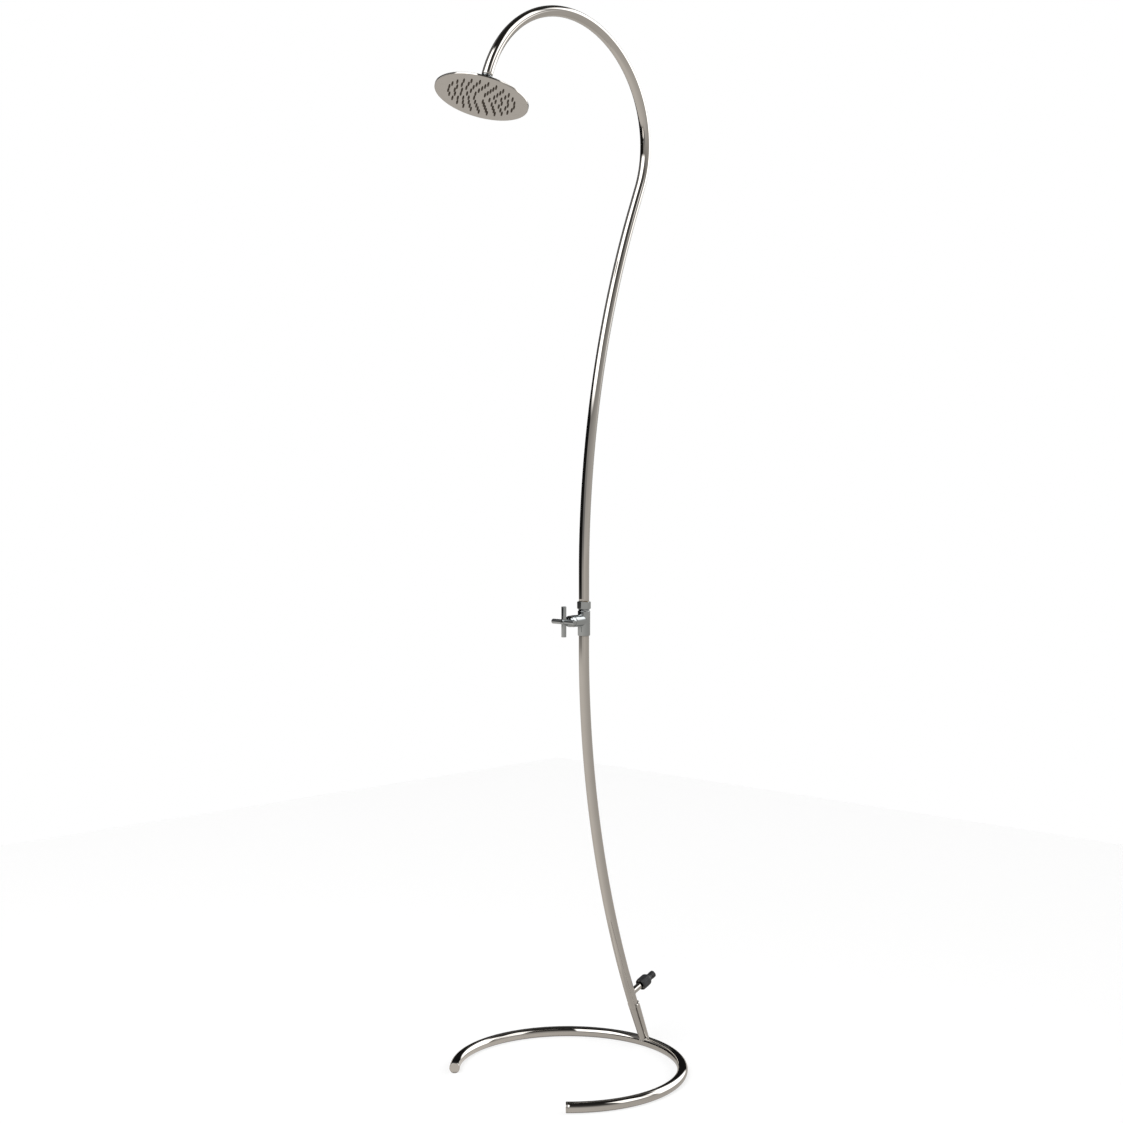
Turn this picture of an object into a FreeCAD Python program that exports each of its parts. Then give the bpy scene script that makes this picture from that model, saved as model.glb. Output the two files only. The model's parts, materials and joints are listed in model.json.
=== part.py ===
import FreeCAD, Part
import os
from math import cos, pi, radians, sin, sqrt

# Outdoor shower: an open ring of tube on the ground, a leaning curved column with a stop
# valve half way up, a hook at the top and a round rain head on a ball joint.
# Millimetres. Origin: the ring's centre, on the ground. +Z is up and +X goes to the back,
# where the column stands on the ring; -X is the front, where the ring is open and the
# handle and the head are. Outside, only the union nut's flats aren't symmetrical about
# the plane Y = 0.

# Ring on the ground
ring_radius = 240.0            # of the tube's centre line
ring_half_angle = 136.0        # degrees of tube each side of the back
ring_tube_radius = 11.0
ring_tube_wall = 2.0
end_plug_cap = 4.0
end_plug_insert = 6.0
end_plug_rounding = 0.8
end_plug_gap = 0.3

# Column
column_radius = 11.0
column_wall = 1.5
foot_lean = 22.4               # degrees from upright, towards the front
foot_run = 91.4                # ring's centre line to the column's lower rim
lower_bend_radius = 2107.6
middle_run = 150.4             # upright stretch that the valve is in
upper_bend_radius = 2060.0
upper_bend_turn = 22.09
back_run = 57.0
hook_radius = 239.0
head_lean = 18.2               # degrees from straight down, towards the front

# Foot
spigot_fit_gap = 0.35          # spigot in the column's bore
spigot_wall = 2.0
spigot_insert = 22.0
cradle_gap = 0.1               # cradle round the column and round the spigot
cradle_radius = 13.6
cradle_low_radius = 11.6       # where it stands on the ring
cradle_bevel = 1.2
cradle_half_angle = 108.0
cradle_overlap = 9.0           # above the column's lower rim
cradle_rim_gap = 0.3           # its step below the column's lower rim
cradle_foot = 15.0             # its lowest edge above the ground
grub_radius = 2.0              # M4
grub_length = 4.0
grub_height = 4.6              # above the column's lower rim
grub_side_angle = 35.0         # each side of the back
grub_gap = 0.05
grub_socket_radius = 1.1
grub_socket_depth = 1.6
plug_height = 24.0             # column plug's underside above the lower rim
plug_thickness = 3.0
plug_gap = 0.05

# Hose inlet; its lengths are measured from the column's centre line
inlet_height = 33.6            # along the column, above the lower rim
inlet_rise = 21.0              # degrees above level
stub_radius = 7.3
stub_bore_radius = 5.5
thread_boss_start = 37.5
thread_boss_length = 11.0
thread_boss_radius = 10.4      # G1/2
inlet_washer_thickness = 2.5
inlet_washer_radius = 9.6
inlet_washer_bore = 5.6
thread_gap = 0.06
collar_start = 34.5
collar_length = 24.0
collar_radius = 12.6
collar_ribs = 12
rib_radius = 2.4
rib_proud = 0.8
collar_chamfer = 1.4
shoulder_radius = 9.4
shoulder_length = 4.0
nose_radius = 7.85
nose_length = 18.5
nose_bore_radius = 5.0
nose_chamfer = 1.2
latch_groove_start = 5.0       # from the shoulder
latch_groove_width = 4.0
latch_groove_depth = 1.2
seal_groove_start = 11.8       # from the shoulder
nose_ring_thickness = 2.2      # O-ring on the nose
nose_ring_proud = 0.2
nose_ring_room = 0.3

# Valve; its places are measured from the crossing of the column and the handle's axis
valve_up_straight = 53.9       # height of the handle's axis above the lower bend's end
body_radius = 13.15
body_below = 32.3
body_above = 20.0
body_rounding = 1.6
body_chamfer = 0.5
socket_depth = 14.0
socket_gap = 0.05
neck_radius = 11.6
neck_length = 3.7
union_thread_radius = 11.0
union_thread_length = 10.0
outlet_radius = 7.0
outlet_start = 6.5
branch_radius = 12.5
branch_length = 34.0
branch_bore_radius = 8.8
seat_depth = 2.0               # seat face behind the column's centre line
seat_hole_radius = 3.5
seat_hole_depth = 7.0
inlet_drill_radius = 2.8
inlet_drill_offset = 6.5

# Valve's cartridge; places along the handle's axis, towards the handle
seal_thickness = 1.5
seal_outer = 6.6
seal_inner = 4.0
disc_radius = 6.9
disc_thickness = 3.0
disc_gap = 0.02
disc_window_inner = 1.3
disc_window_outer = 5.4
disc_window_angle = 80.0
drive_slot_width = 3.1
drive_slot_depth = 1.4
drive_tang_length = 8.0
drive_gap = 0.05
cage_gap = 0.1
cage_radius = 8.4
cage_window_width = 8.0
cage_window_start = 3.2
cage_skirt = 0.8
cage_roof = 1.5
headwork_thread_gap = 0.06
headwork_ring_inset = 5.0      # from the branch's mouth
headwork_ring_thickness = 1.8
headwork_ring_gap = 0.02
headwork_hex_flats = 16.4
headwork_hex_length = 4.0
shroud_thread_radius = 8.0
shroud_thread_length = 6.0
headwork_top_radius = 6.4
headwork_top_length = 3.4
spindle_radius = 4.0
spindle_gap = 0.04
spindle_foot_radius = 6.4
spindle_foot_length = 3.0
spindle_ring_place = 24.0
spindle_ring_thickness = 1.4
spindle_ring_gap = 0.02
circlip_thickness = 0.9
circlip_wire = 1.5
circlip_gap_angle = 60.0
circlip_groove_depth = 0.6
circlip_clearance = 0.15

# Bonnet shroud and handle
shroud_radius = 12.0
shroud_length = 18.4
shroud_front_radius = 8.6
shroud_nose_length = 11.0
shroud_bulge = 0.9
shroud_wall_front = 2.2
shroud_hole_radius = 5.0
shroud_bore_radius = 9.7
shroud_inner_top = 7.4
thread_runout = 0.4
handle_reach = 60.3            # spokes' plane from the column's centre line
handle_gap = 0.8               # hub behind, to the shroud
hub_radius = 5.8
hub_front = 5.4                # in front of the spokes' plane
spoke_radius = 5.2
spoke_span = 64.0
spoke_chamfer = 0.7
hub_web = 1.4
hub_web_front = -0.2           # in front of the spokes' plane
hub_fit_gap = 0.05
screw_radius = 2.0             # M4
screw_length = 12.0
screw_runout = 1.4             # how much deeper its hole is
screw_head_radius = 3.5
screw_head_height = 2.0
screw_socket_radius = 1.3
screw_socket_depth = 1.2
cap_radius = 4.4
cap_thickness = 1.7
cap_rise = 0.5                 # above the hub's front
cap_bevel = 1.0
cap_gap = 0.05

# Union above the valve
nut_flats = 25.2
nut_length = 16.2
nut_clock = -11.0              # degrees that the flats are turned from the front
nut_chamfer = 1.3
union_gap = 0.2
union_washer_thickness = 1.5
tail_flange_radius = 10.4
tail_flange_length = 3.0
tail_bore_radius = 7.2
tail_insert = 14.0
tail_gap = 0.05
nut_lip_gap = 0.1
upper_rim_gap = 0.3

# Head; its heights are measured from the face, along the head's axis
head_drop = 48.0               # column's upper end above the face
head_radius = 94.5
rim_height = 4.0
rim_rounding = 0.9
rim_wall = 1.2
face_thickness = 1.0
face_gap = 0.05
face_ledge = 2.3
mat_thickness = 1.6
mat_ledge = 3.0
shell_wall = 1.2
cavity_step = 0.4
shoulder_start = 30.0          # radius where the shell turns up into its boss
shoulder_rise = 8.4
dome_bulge = 0.7
boss_radius = 16.4
boss_start = 12.5
boss_flare = 3.2
boss_flare_rise = 1.2
boss_thread_start = 19.6
boss_thread_radius = 15.0
throat_radius = 4.5
nozzle_rings = 5
nozzle_ring_start = 4.0        # radius that the first ring is one step outside
nozzle_ring_step = 12.5
nozzles_per_ring = 5           # more on each ring than on the one inside it
nozzle_base_radius = 2.2
nozzle_tip_radius = 1.5
nozzle_proud = 4.2
nozzle_root = 0.2              # how far a nozzle goes into the mat
nozzle_bore_radius = 0.5
nozzle_hole_gap = 0.1

# Ball joint
ball_height = 26.0
ball_radius = 9.0
ball_gap = 0.05
liner_thickness = 1.45
liner_gap = 0.1
top_ring_from = 50.0           # degrees from the stem's axis
top_ring_to = 82.0
seat_from = 105.0
seat_to = 140.0
ball_neck_radius = 5.5
ball_bore_radius = 3.5
ball_nut_radius = 17.0
ball_nut_start = 20.0
ball_nut_end = 41.0
ball_nut_chamfer = 0.9
ball_nut_mouth = 11.2
ball_nut_lip = 8.3
stem_flange_radius = 10.4
stem_flange_thickness = 1.8
stem_washer_thickness = 1.0
stem_thread_radius = 8.33      # G3/8
stem_thread_length = 12.0
bush_wall_gap = 0.05
bush_length = 14.0
limiter_radius = 6.0
limiter_recess = 4.0
limiter_thickness = 2.5
limiter_hole_radius = 1.1
limiter_holes = 4
limiter_hole_circle = 3.0
limiter_gap = 0.05

cut_extra = 2.0                # how far cutters run past what they cut
cutter_size = 60.0             # of a cutter that takes off a whole side


def at(point, lean, shape):
    """What was made along +Z, put at a point of the plane Y = 0 and leaned towards +X."""
    turn = FreeCAD.Rotation(FreeCAD.Vector(0, 1, 0), lean)
    return shape.transformed(FreeCAD.Placement(vector(point), turn).toMatrix())


def cylinder(radius, low, high, x=0.0, y=0.0):
    """A round rod along Z between two heights."""
    return Part.makeCylinder(radius, high - low, FreeCAD.Vector(x, y, low))


def tube(outer, inner, low, high):
    """A round tube along Z between two heights."""
    return cylinder(outer, low, high).cut(cylinder(inner, low - cut_extra, high + cut_extra))


def sector(radius, low, high, middle, angle):
    """A slice of a rod along Z, of that many degrees about a middle direction."""
    up = FreeCAD.Vector(0, 0, 1)
    part = Part.makeCylinder(radius, high - low, FreeCAD.Vector(0, 0, low), up, angle)
    part.rotate(FreeCAD.Vector(0, 0, 0), up, middle - angle / 2)
    return part


def block(x_size, y_size, low, high):
    """A block centred on the Z axis between two heights."""
    return Part.makeBox(x_size, y_size, high - low, FreeCAD.Vector(-x_size / 2, -y_size / 2, low))


def turned(*steps):
    """A solid of revolution about Z. A step is (radius, height), or an arc's middle and end."""
    here = FreeCAD.Vector(steps[0][0], 0, steps[0][1])
    edges = []
    for step in steps[1:] + steps[:1]:
        is_arc = isinstance(step[0], tuple)
        end = step[1] if is_arc else step
        there = FreeCAD.Vector(end[0], 0, end[1])
        if is_arc:
            middle = FreeCAD.Vector(step[0][0], 0, step[0][1])
            edges.append(Part.Arc(here, middle, there).toShape())
        else:
            edges.append(Part.LineSegment(here, there).toShape())
        here = there
    face = Part.Face(Part.Wire(edges))
    return face.revolve(FreeCAD.Vector(0, 0, 0), FreeCAD.Vector(0, 0, 1), 360)


def o_ring(outer, thickness, height):
    """A round ring seal about Z."""
    return Part.makeTorus(outer - thickness / 2, thickness / 2, FreeCAD.Vector(0, 0, height))


def prism(flats, low, high, clock=0.0):
    """A hexagonal prism along Z; its first flat faces +X, turned by clock degrees."""
    corners = []
    for number in range(7):
        angle = radians(clock + 30 + 60 * number)
        reach = flats / 2 / cos(radians(30))
        corners.append(FreeCAD.Vector(reach * cos(angle), reach * sin(angle), low))
    return Part.Face(Part.makePolygon(corners)).extrude(FreeCAD.Vector(0, 0, high - low))


def moved(point, lean, length):
    """The point that far along a leaning line of the plane Y = 0."""
    return (point[0] + length * sin(radians(lean)), point[1] + length * cos(radians(lean)))


def straight(point, lean, length):
    """A straight stretch of the column's centre line, and its end."""
    end = moved(point, lean, length)
    return Part.LineSegment(vector(point), vector(end)).toShape(), end


def on_bend(point, lean, radius, turn):
    """The point reached by a bend that turns towards +X, or towards -X where turn is negative."""
    side = 1 if turn > 0 else -1
    centre = moved(point, lean + 90, side * radius)
    return moved(centre, lean + turn + 90, -side * radius)


def bend(point, lean, radius, turn):
    """A bent stretch of the column's centre line, and its end."""
    middle = on_bend(point, lean, radius, turn / 2)
    end = on_bend(point, lean, radius, turn)
    return Part.Arc(vector(point), vector(middle), vector(end)).toShape(), end


def vector(point):
    """A point of the plane Y = 0 in space."""
    return FreeCAD.Vector(point[0], 0, point[1])


def swept(edges, point, lean, outer, inner=0.0):
    """A tube, or a bar, along a centre line that starts at a point with a lean."""
    section = Part.Face(Part.Wire(Part.makeCircle(outer)))
    if inner:
        section = section.cut(Part.Face(Part.Wire(Part.makeCircle(inner)))).Faces[0]
    return Part.Wire(edges).makePipe(at(point, lean, section))


def turn_for(length, radius):
    """The degrees that a bend of that radius turns in a length."""
    return length / radius * 180 / pi


def save(name, shape):
    """Writes one sub-part."""
    print(name, len(shape.Solids), round(shape.Volume), shape.isValid())
    shape.exportStep("parts/" + name + ".step")


# Places along the column
column_bore = column_radius - column_wall
foot_point = (ring_radius, ring_tube_radius)
rim_point = moved(foot_point, -foot_lean, foot_run)
lower_bend_edge, bend_end = bend(rim_point, -foot_lean, lower_bend_radius, foot_lean)
valve_point = moved(bend_end, 0, valve_up_straight)
socket_floor = body_below - socket_depth
lower_top_edge, lower_top = straight(bend_end, 0, valve_up_straight - socket_floor)

nut_start = body_above + neck_length + union_gap
nut_end = nut_start + nut_length
upper_start = nut_end + upper_rim_gap
upper_rim = moved(valve_point, 0, upper_start)
upper_run_edge, upper_bend_start = straight(upper_rim, 0, middle_run - valve_up_straight - upper_start)
upper_bend_edge, back_start = bend(upper_bend_start, 0, upper_bend_radius, upper_bend_turn)
back_edge, hook_start = straight(back_start, upper_bend_turn, back_run)
hook_turn = head_lean - 180 - upper_bend_turn
hook_edge, column_end = bend(hook_start, upper_bend_turn, hook_radius, hook_turn)
face_point = moved(column_end, head_lean, -head_drop)


def on_lower_column(length):
    """A point of the lower bend that far from the rim, and the column's lean there."""
    turn = turn_for(length, lower_bend_radius)
    return on_bend(rim_point, -foot_lean, lower_bend_radius, turn), turn - foot_lean


def lower_column_solid(outer, inner=0.0):
    """The lower column as a bar or a tube."""
    return swept([lower_bend_edge, lower_top_edge], rim_point, -foot_lean, outer, inner)


inlet_point = on_lower_column(inlet_height)[0]
inlet_lean = 90 - inlet_rise


def at_inlet(shape):
    """Puts a piece made along Z on the inlet's axis, from the column's centre line."""
    return at(inlet_point, inlet_lean, shape)


def at_valve(shape):
    """Puts a piece made about the valve's crossing in its place."""
    return at(valve_point, 0, shape)


def sideways(shape):
    """Turns a piece made along Z to the handle's axis, which runs to the front."""
    return at((0, 0), -90, shape)


def at_handle(shape):
    """Puts a piece made along Z on the handle's axis, from the column's centre line."""
    return at_valve(sideways(shape))


def at_head(shape):
    """Puts a piece made along Z on the head's axis, from the face."""
    return at(face_point, head_lean, shape)


# Ring and foot

def ring_solid(radius):
    """The ring's tube as a bar."""
    centre = FreeCAD.Vector(0, 0, ring_tube_radius)
    up = FreeCAD.Vector(0, 0, 1)
    bar = Part.makeTorus(ring_radius, radius, centre, up, 0, 360, 2 * ring_half_angle)
    bar.rotate(centre, up, -ring_half_angle)
    return bar


def base_ring():
    """The open ring."""
    return ring_solid(ring_tube_radius).cut(ring_solid(ring_tube_radius - ring_tube_wall))


def ring_end_plug():
    """The closed end of the ring on the +Y side."""
    insert_radius = ring_tube_radius - ring_tube_wall - end_plug_gap
    plug = turned((0, -end_plug_insert), (insert_radius, -end_plug_insert), (insert_radius, 0),
                  (ring_tube_radius, 0), (ring_tube_radius, end_plug_cap - end_plug_rounding),
                  (ring_tube_radius - end_plug_rounding, end_plug_cap), (0, end_plug_cap))
    angle = radians(ring_half_angle)
    place = FreeCAD.Vector(ring_radius * cos(angle), ring_radius * sin(angle), ring_tube_radius)
    along = FreeCAD.Vector(-sin(angle), cos(angle), 0)
    turn = FreeCAD.Rotation(FreeCAD.Vector(0, 0, 1), along)
    return plug.transformed(FreeCAD.Placement(place, turn).toMatrix())


def foot_spigot():
    """The leaning tube on the ring that the column slips over."""
    outer = column_bore - spigot_fit_gap
    spigot = tube(outer, outer - spigot_wall, 0, foot_run + spigot_insert)
    return at(foot_point, -foot_lean, spigot).cut(ring_solid(ring_tube_radius))


def grub_rods(radius, start, end):
    """Rods where the grub screws are, from one distance from the column's axis to another."""
    rods = []
    for side in (-1, 1):
        angle = radians(side * grub_side_angle)
        out = FreeCAD.Vector(cos(angle), sin(angle), 0)
        foot = FreeCAD.Vector(start * out.x, start * out.y, foot_run + grub_height)
        rods.append(at(foot_point, -foot_lean, Part.makeCylinder(radius, end - start, foot, out)))
    return rods


def foot_cradle():
    """The saddle that holds the column and the spigot from behind, welded on the ring."""
    inner = column_radius + cradle_gap
    low_inner = column_bore - spigot_fit_gap + cradle_gap
    step = foot_run - cradle_rim_gap
    top = foot_run + cradle_overlap
    sleeve = turned((low_inner, 0), (cradle_low_radius, 0), (cradle_radius, step),
                    (cradle_radius, top - cradle_bevel), (cradle_radius - cradle_bevel, top),
                    (inner, top), (inner, step), (low_inner, step))
    wrap = sleeve.common(sector(cutter_size, 0, top, 0, 2 * cradle_half_angle))
    wrap = at(foot_point, -foot_lean, wrap).cut(ring_solid(ring_tube_radius))
    ground = block(cutter_size, cutter_size, cradle_foot - cutter_size, cradle_foot)
    ground.translate(vector((ring_radius, 0)))
    holes = grub_rods(grub_radius + grub_gap, inner - cut_extra, cradle_radius + cut_extra)
    return wrap.cut(ground).cut(holes)


def foot_grub_screws():
    """Two socket screws through the cradle and the column, against the spigot."""
    start = column_bore - spigot_fit_gap + grub_gap
    end = start + grub_length
    sockets = grub_rods(grub_socket_radius, end - grub_socket_depth, end + cut_extra)
    screws = []
    for rod, socket in zip(grub_rods(grub_radius, start, end), sockets):
        screws.append(rod.cut(socket))
    return Part.makeCompound(screws)


def lower_column():
    """The curved tube from the foot to the valve."""
    column = lower_column_solid(column_radius, column_bore)
    holes = grub_rods(grub_radius + grub_gap, column_bore - cut_extra, column_radius + cut_extra)
    holes.append(at_inlet(cylinder(stub_bore_radius, 0, column_radius + cut_extra)))
    return column.cut(holes)


def column_plug():
    """The disc that closes the column below the inlet."""
    point, lean = on_lower_column(plug_height)
    return at(point, lean, cylinder(column_bore - plug_gap, 0, plug_thickness))


# Hose inlet

def inlet_stub():
    """The small tube out of the column's back."""
    stub = tube(stub_radius, stub_bore_radius, 0, thread_boss_start + thread_boss_length)
    return at_inlet(stub).cut(lower_column_solid(column_radius))


def inlet_thread_boss():
    """The threaded end of the stub."""
    end = thread_boss_start + thread_boss_length
    return at_inlet(tube(thread_boss_radius, stub_radius + thread_gap, thread_boss_start, end))


def connector_washer():
    """The flat seal in the connector."""
    start = thread_boss_start + thread_boss_length
    end = start + inlet_washer_thickness
    return at_inlet(tube(inlet_washer_radius, inlet_washer_bore, start, end))


collar_end = collar_start + collar_length
nose_start = collar_end + shoulder_length
nose_end = nose_start + nose_length
nose_groove_width = nose_ring_thickness + nose_ring_room


def hose_connector():
    """The ribbed collar with the nose that a hose coupling clicks on."""
    chamfered = collar_radius - collar_chamfer
    latch_start = nose_start + latch_groove_start
    latch_end = latch_start + latch_groove_width
    seal_start = nose_start + seal_groove_start
    seal_end = seal_start + nose_groove_width
    seal_bottom = nose_radius + nose_ring_proud - nose_ring_thickness
    body = turned((0, collar_start), (chamfered, collar_start), (collar_radius, collar_start + collar_chamfer),
                  (collar_radius, collar_end - collar_chamfer), (chamfered, collar_end),
                  (shoulder_radius, nose_start), (nose_radius, nose_start),
                  (nose_radius, latch_start), (nose_radius - latch_groove_depth, latch_start),
                  (nose_radius - latch_groove_depth, latch_end), (nose_radius, latch_end),
                  (nose_radius, seal_start), (seal_bottom, seal_start),
                  (seal_bottom, seal_end), (nose_radius, seal_end),
                  (nose_radius, nose_end - nose_chamfer), (nose_radius - nose_chamfer, nose_end), (0, nose_end))
    ribs = []
    for number in range(collar_ribs):
        angle = 2 * pi * number / collar_ribs
        reach = collar_radius + rib_proud - rib_radius
        rib = cylinder(rib_radius, collar_start + collar_chamfer, collar_end - collar_chamfer,
                       reach * cos(angle), reach * sin(angle))
        ribs.append(rib)
    floor = thread_boss_start + thread_boss_length + inlet_washer_thickness
    thread = cylinder(thread_boss_radius + thread_gap, collar_start - cut_extra, floor)
    bore = cylinder(nose_bore_radius, floor - cut_extra, nose_end + cut_extra)
    return at_inlet(body.fuse(ribs).cut([thread, bore]))


def connector_o_ring():
    """The ring seal on the connector's nose."""
    middle = nose_start + seal_groove_start + nose_groove_width / 2
    return at_inlet(o_ring(nose_radius + nose_ring_proud, nose_ring_thickness, middle))


# Valve

def valve_body():
    """The casting: a socket for the lower column, a branch for the cartridge, a union thread."""
    neck_end = body_above + neck_length
    top = neck_end + union_thread_length
    body = turned((0, -body_below), (body_radius - body_rounding, -body_below),
                  ((body_radius - body_rounding * (1 - sqrt(0.5)), -body_below + body_rounding * (1 - sqrt(0.5))),
                   (body_radius, -body_below + body_rounding)),
                  (body_radius, body_above - body_chamfer), (body_radius - body_chamfer, body_above),
                  (neck_radius, body_above), (neck_radius, neck_end), (union_thread_radius, neck_end),
                  (union_thread_radius, top), (0, top))
    branch = sideways(cylinder(branch_radius, 0, branch_length))
    socket = cylinder(column_radius + socket_gap, -body_below - cut_extra, -socket_floor)
    drill = cylinder(inlet_drill_radius, -socket_floor - cut_extra, 0, inlet_drill_offset)
    seat_hole = sideways(cylinder(seat_hole_radius, -seat_depth - seat_hole_depth, 0))
    cartridge_bore = sideways(cylinder(branch_bore_radius, -seat_depth, branch_length + cut_extra))
    outlet = cylinder(outlet_radius, outlet_start, top + cut_extra)
    return at_valve(body.fuse(branch).cut([socket, drill, seat_hole, cartridge_bore, outlet]))


seal_start = -seat_depth
fixed_disc_start = seal_start + seal_thickness
moving_disc_start = fixed_disc_start + disc_thickness + disc_gap
spindle_foot_start = moving_disc_start + disc_thickness + drive_gap
cage_roof_start = spindle_foot_start + spindle_foot_length + drive_gap
cage_end = cage_roof_start + cage_roof
headwork_hex_end = branch_length + headwork_hex_length
shroud_thread_end = headwork_hex_end + shroud_thread_length
headwork_end = shroud_thread_end + headwork_top_length
spindle_bore = spindle_radius + spindle_gap


def seat_seal():
    """The lip seal between the seat and the fixed disc."""
    return at_handle(tube(seal_outer, seal_inner, seal_start, fixed_disc_start))


def disc_with_windows(start, first_window):
    """A ceramic disc with two windows, across from each other."""
    end = start + disc_thickness
    cutters = []
    for side in (0, 180):
        window = sector(disc_window_outer, start - cut_extra, end + cut_extra, first_window + side,
                        disc_window_angle)
        cutters.append(window.cut(cylinder(disc_window_inner, start - cut_extra, end + cut_extra)))
    return cylinder(disc_radius, start, end).cut(cutters)


def fixed_ceramic_disc():
    """The disc that stays."""
    return at_handle(disc_with_windows(fixed_disc_start, 0))


def moving_ceramic_disc():
    """The disc that the spindle turns; closed at rest."""
    end = moving_disc_start + disc_thickness
    slot = block(drive_slot_width, cutter_size, end - drive_slot_depth, end + cut_extra)
    return at_handle(disc_with_windows(moving_disc_start, 90).cut(slot))


def headwork_body():
    """The cartridge's body: cage for the discs, thread, flats and the spindle's bearing."""
    outer = branch_bore_radius - headwork_thread_gap
    groove_bottom = branch_bore_radius - headwork_ring_thickness - 2 * headwork_ring_gap
    ring_middle = branch_length - headwork_ring_inset
    groove_start = ring_middle - headwork_ring_thickness / 2 - headwork_ring_gap
    groove_end = ring_middle + headwork_ring_thickness / 2 + headwork_ring_gap
    cage_bore = disc_radius + cage_gap
    body = turned((cage_bore, fixed_disc_start - cage_skirt), (cage_radius, fixed_disc_start - cage_skirt),
                  (cage_radius, cage_end), (outer, cage_end), (outer, groove_start),
                  (groove_bottom, groove_start), (groove_bottom, groove_end), (outer, groove_end),
                  (outer, branch_length), (headwork_hex_flats, branch_length),
                  (headwork_hex_flats, headwork_hex_end), (shroud_thread_radius, headwork_hex_end),
                  (shroud_thread_radius, shroud_thread_end), (headwork_top_radius, shroud_thread_end),
                  (headwork_top_radius, headwork_end), (spindle_bore, headwork_end),
                  (spindle_bore, cage_roof_start), (cage_bore, cage_roof_start))
    hexagon = prism(headwork_hex_flats, branch_length - cut_extra, headwork_hex_end + cut_extra)
    round_part = cylinder(cutter_size, branch_length, headwork_hex_end)
    window = block(cutter_size, cage_window_width, cage_window_start, cage_roof_start)
    return at_handle(body.cut(round_part.cut(hexagon)).cut(window))


def headwork_o_ring():
    """The ring seal round the cartridge."""
    ring = o_ring(branch_bore_radius - headwork_ring_gap, headwork_ring_thickness,
                  branch_length - headwork_ring_inset)
    return at_handle(ring)


spindle_end = handle_reach + hub_web_front - drive_gap
circlip_start = headwork_end + circlip_clearance
circlip_inner = spindle_radius - circlip_groove_depth


def valve_spindle():
    """The spindle from the moving disc to the handle."""
    ring_bottom = spindle_bore - spindle_ring_thickness - 2 * spindle_ring_gap
    ring_start = spindle_ring_place - spindle_ring_thickness / 2 - spindle_ring_gap
    ring_end = spindle_ring_place + spindle_ring_thickness / 2 + spindle_ring_gap
    foot_end = spindle_foot_start + spindle_foot_length
    circlip_end = circlip_start + circlip_thickness + spindle_ring_gap
    body = turned((0, spindle_foot_start), (spindle_foot_radius, spindle_foot_start),
                  (spindle_foot_radius, foot_end), (spindle_radius, foot_end),
                  (spindle_radius, ring_start), (ring_bottom, ring_start),
                  (ring_bottom, ring_end), (spindle_radius, ring_end),
                  (spindle_radius, circlip_start), (circlip_inner, circlip_start),
                  (circlip_inner, circlip_end), (spindle_radius, circlip_end),
                  (spindle_radius, spindle_end), (0, spindle_end))
    tang = block(drive_slot_width - 2 * drive_gap, drive_tang_length,
                 spindle_foot_start - drive_slot_depth, spindle_foot_start + drive_gap)
    screw_floor = screw_seat - screw_length - screw_runout
    hole = cylinder(screw_radius + hub_fit_gap, screw_floor, spindle_end + cut_extra)
    return at_handle(body.fuse(tang).cut(hole))


def spindle_o_ring():
    """The ring seal on the spindle."""
    return at_handle(o_ring(spindle_bore - spindle_ring_gap, spindle_ring_thickness, spindle_ring_place))


def spindle_circlip():
    """The clip that keeps the spindle in the cartridge."""
    end = circlip_start + circlip_thickness
    clip = sector(circlip_inner + circlip_wire, circlip_start, end, 0, 360 - circlip_gap_angle)
    return at_handle(clip.cut(cylinder(circlip_inner, circlip_start - cut_extra, end + cut_extra)))


# Bonnet shroud and handle
shroud_end = branch_length + shroud_length
hub_start = shroud_end + handle_gap
hub_end = handle_reach + hub_front
screw_seat = handle_reach + hub_web_front + hub_web


def bonnet_shroud():
    """The cap that hides the cartridge."""
    taper_start = shroud_end - shroud_nose_length
    taper_middle = (shroud_radius + shroud_front_radius) / 2 + shroud_bulge
    thread = shroud_thread_radius + headwork_thread_gap
    roof = shroud_end - shroud_wall_front
    shroud = turned((shroud_bore_radius, branch_length), (shroud_radius, branch_length),
                    (shroud_radius, taper_start),
                    ((taper_middle, (taper_start + shroud_end) / 2), (shroud_front_radius, shroud_end)),
                    (shroud_hole_radius, shroud_end), (shroud_hole_radius, roof),
                    (shroud_inner_top, roof), (shroud_inner_top, shroud_thread_end + thread_runout),
                    (thread, shroud_thread_end + thread_runout), (thread, headwork_hex_end + thread_runout),
                    (shroud_bore_radius, headwork_hex_end + thread_runout))
    return at_handle(shroud)


def spoke():
    """One straight spoke along Z through the hub, made about its middle."""
    end = spoke_span / 2
    bevelled = spoke_radius - spoke_chamfer
    return turned((0, -end), (bevelled, -end), (spoke_radius, -end + spoke_chamfer),
                  (spoke_radius, end - spoke_chamfer), (bevelled, end), (0, end))


def cross_handle():
    """The four-armed handle."""
    bevelled = hub_radius - spoke_chamfer
    hub = turned((0, hub_start), (bevelled, hub_start), (hub_radius, hub_start + spoke_chamfer),
                 (hub_radius, hub_end - spoke_chamfer), (bevelled, hub_end), (0, hub_end))
    level = spoke()
    level.rotate(FreeCAD.Vector(0, 0, 0), FreeCAD.Vector(1, 0, 0), 90)
    upright = spoke()
    upright.rotate(FreeCAD.Vector(0, 0, 0), FreeCAD.Vector(0, 1, 0), 90)
    arms = [level, upright]
    for arm in arms:
        arm.translate(FreeCAD.Vector(0, 0, handle_reach))
    spindle_hole = cylinder(spindle_radius + hub_fit_gap, hub_start - cut_extra, handle_reach + hub_web_front)
    screw_hole = cylinder(screw_radius + hub_fit_gap, hub_start, hub_end)
    recess = cylinder(cap_radius + cap_gap, screw_seat, hub_end + cut_extra)
    return at_handle(hub.fuse(arms).cut([spindle_hole, screw_hole, recess]))


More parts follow.
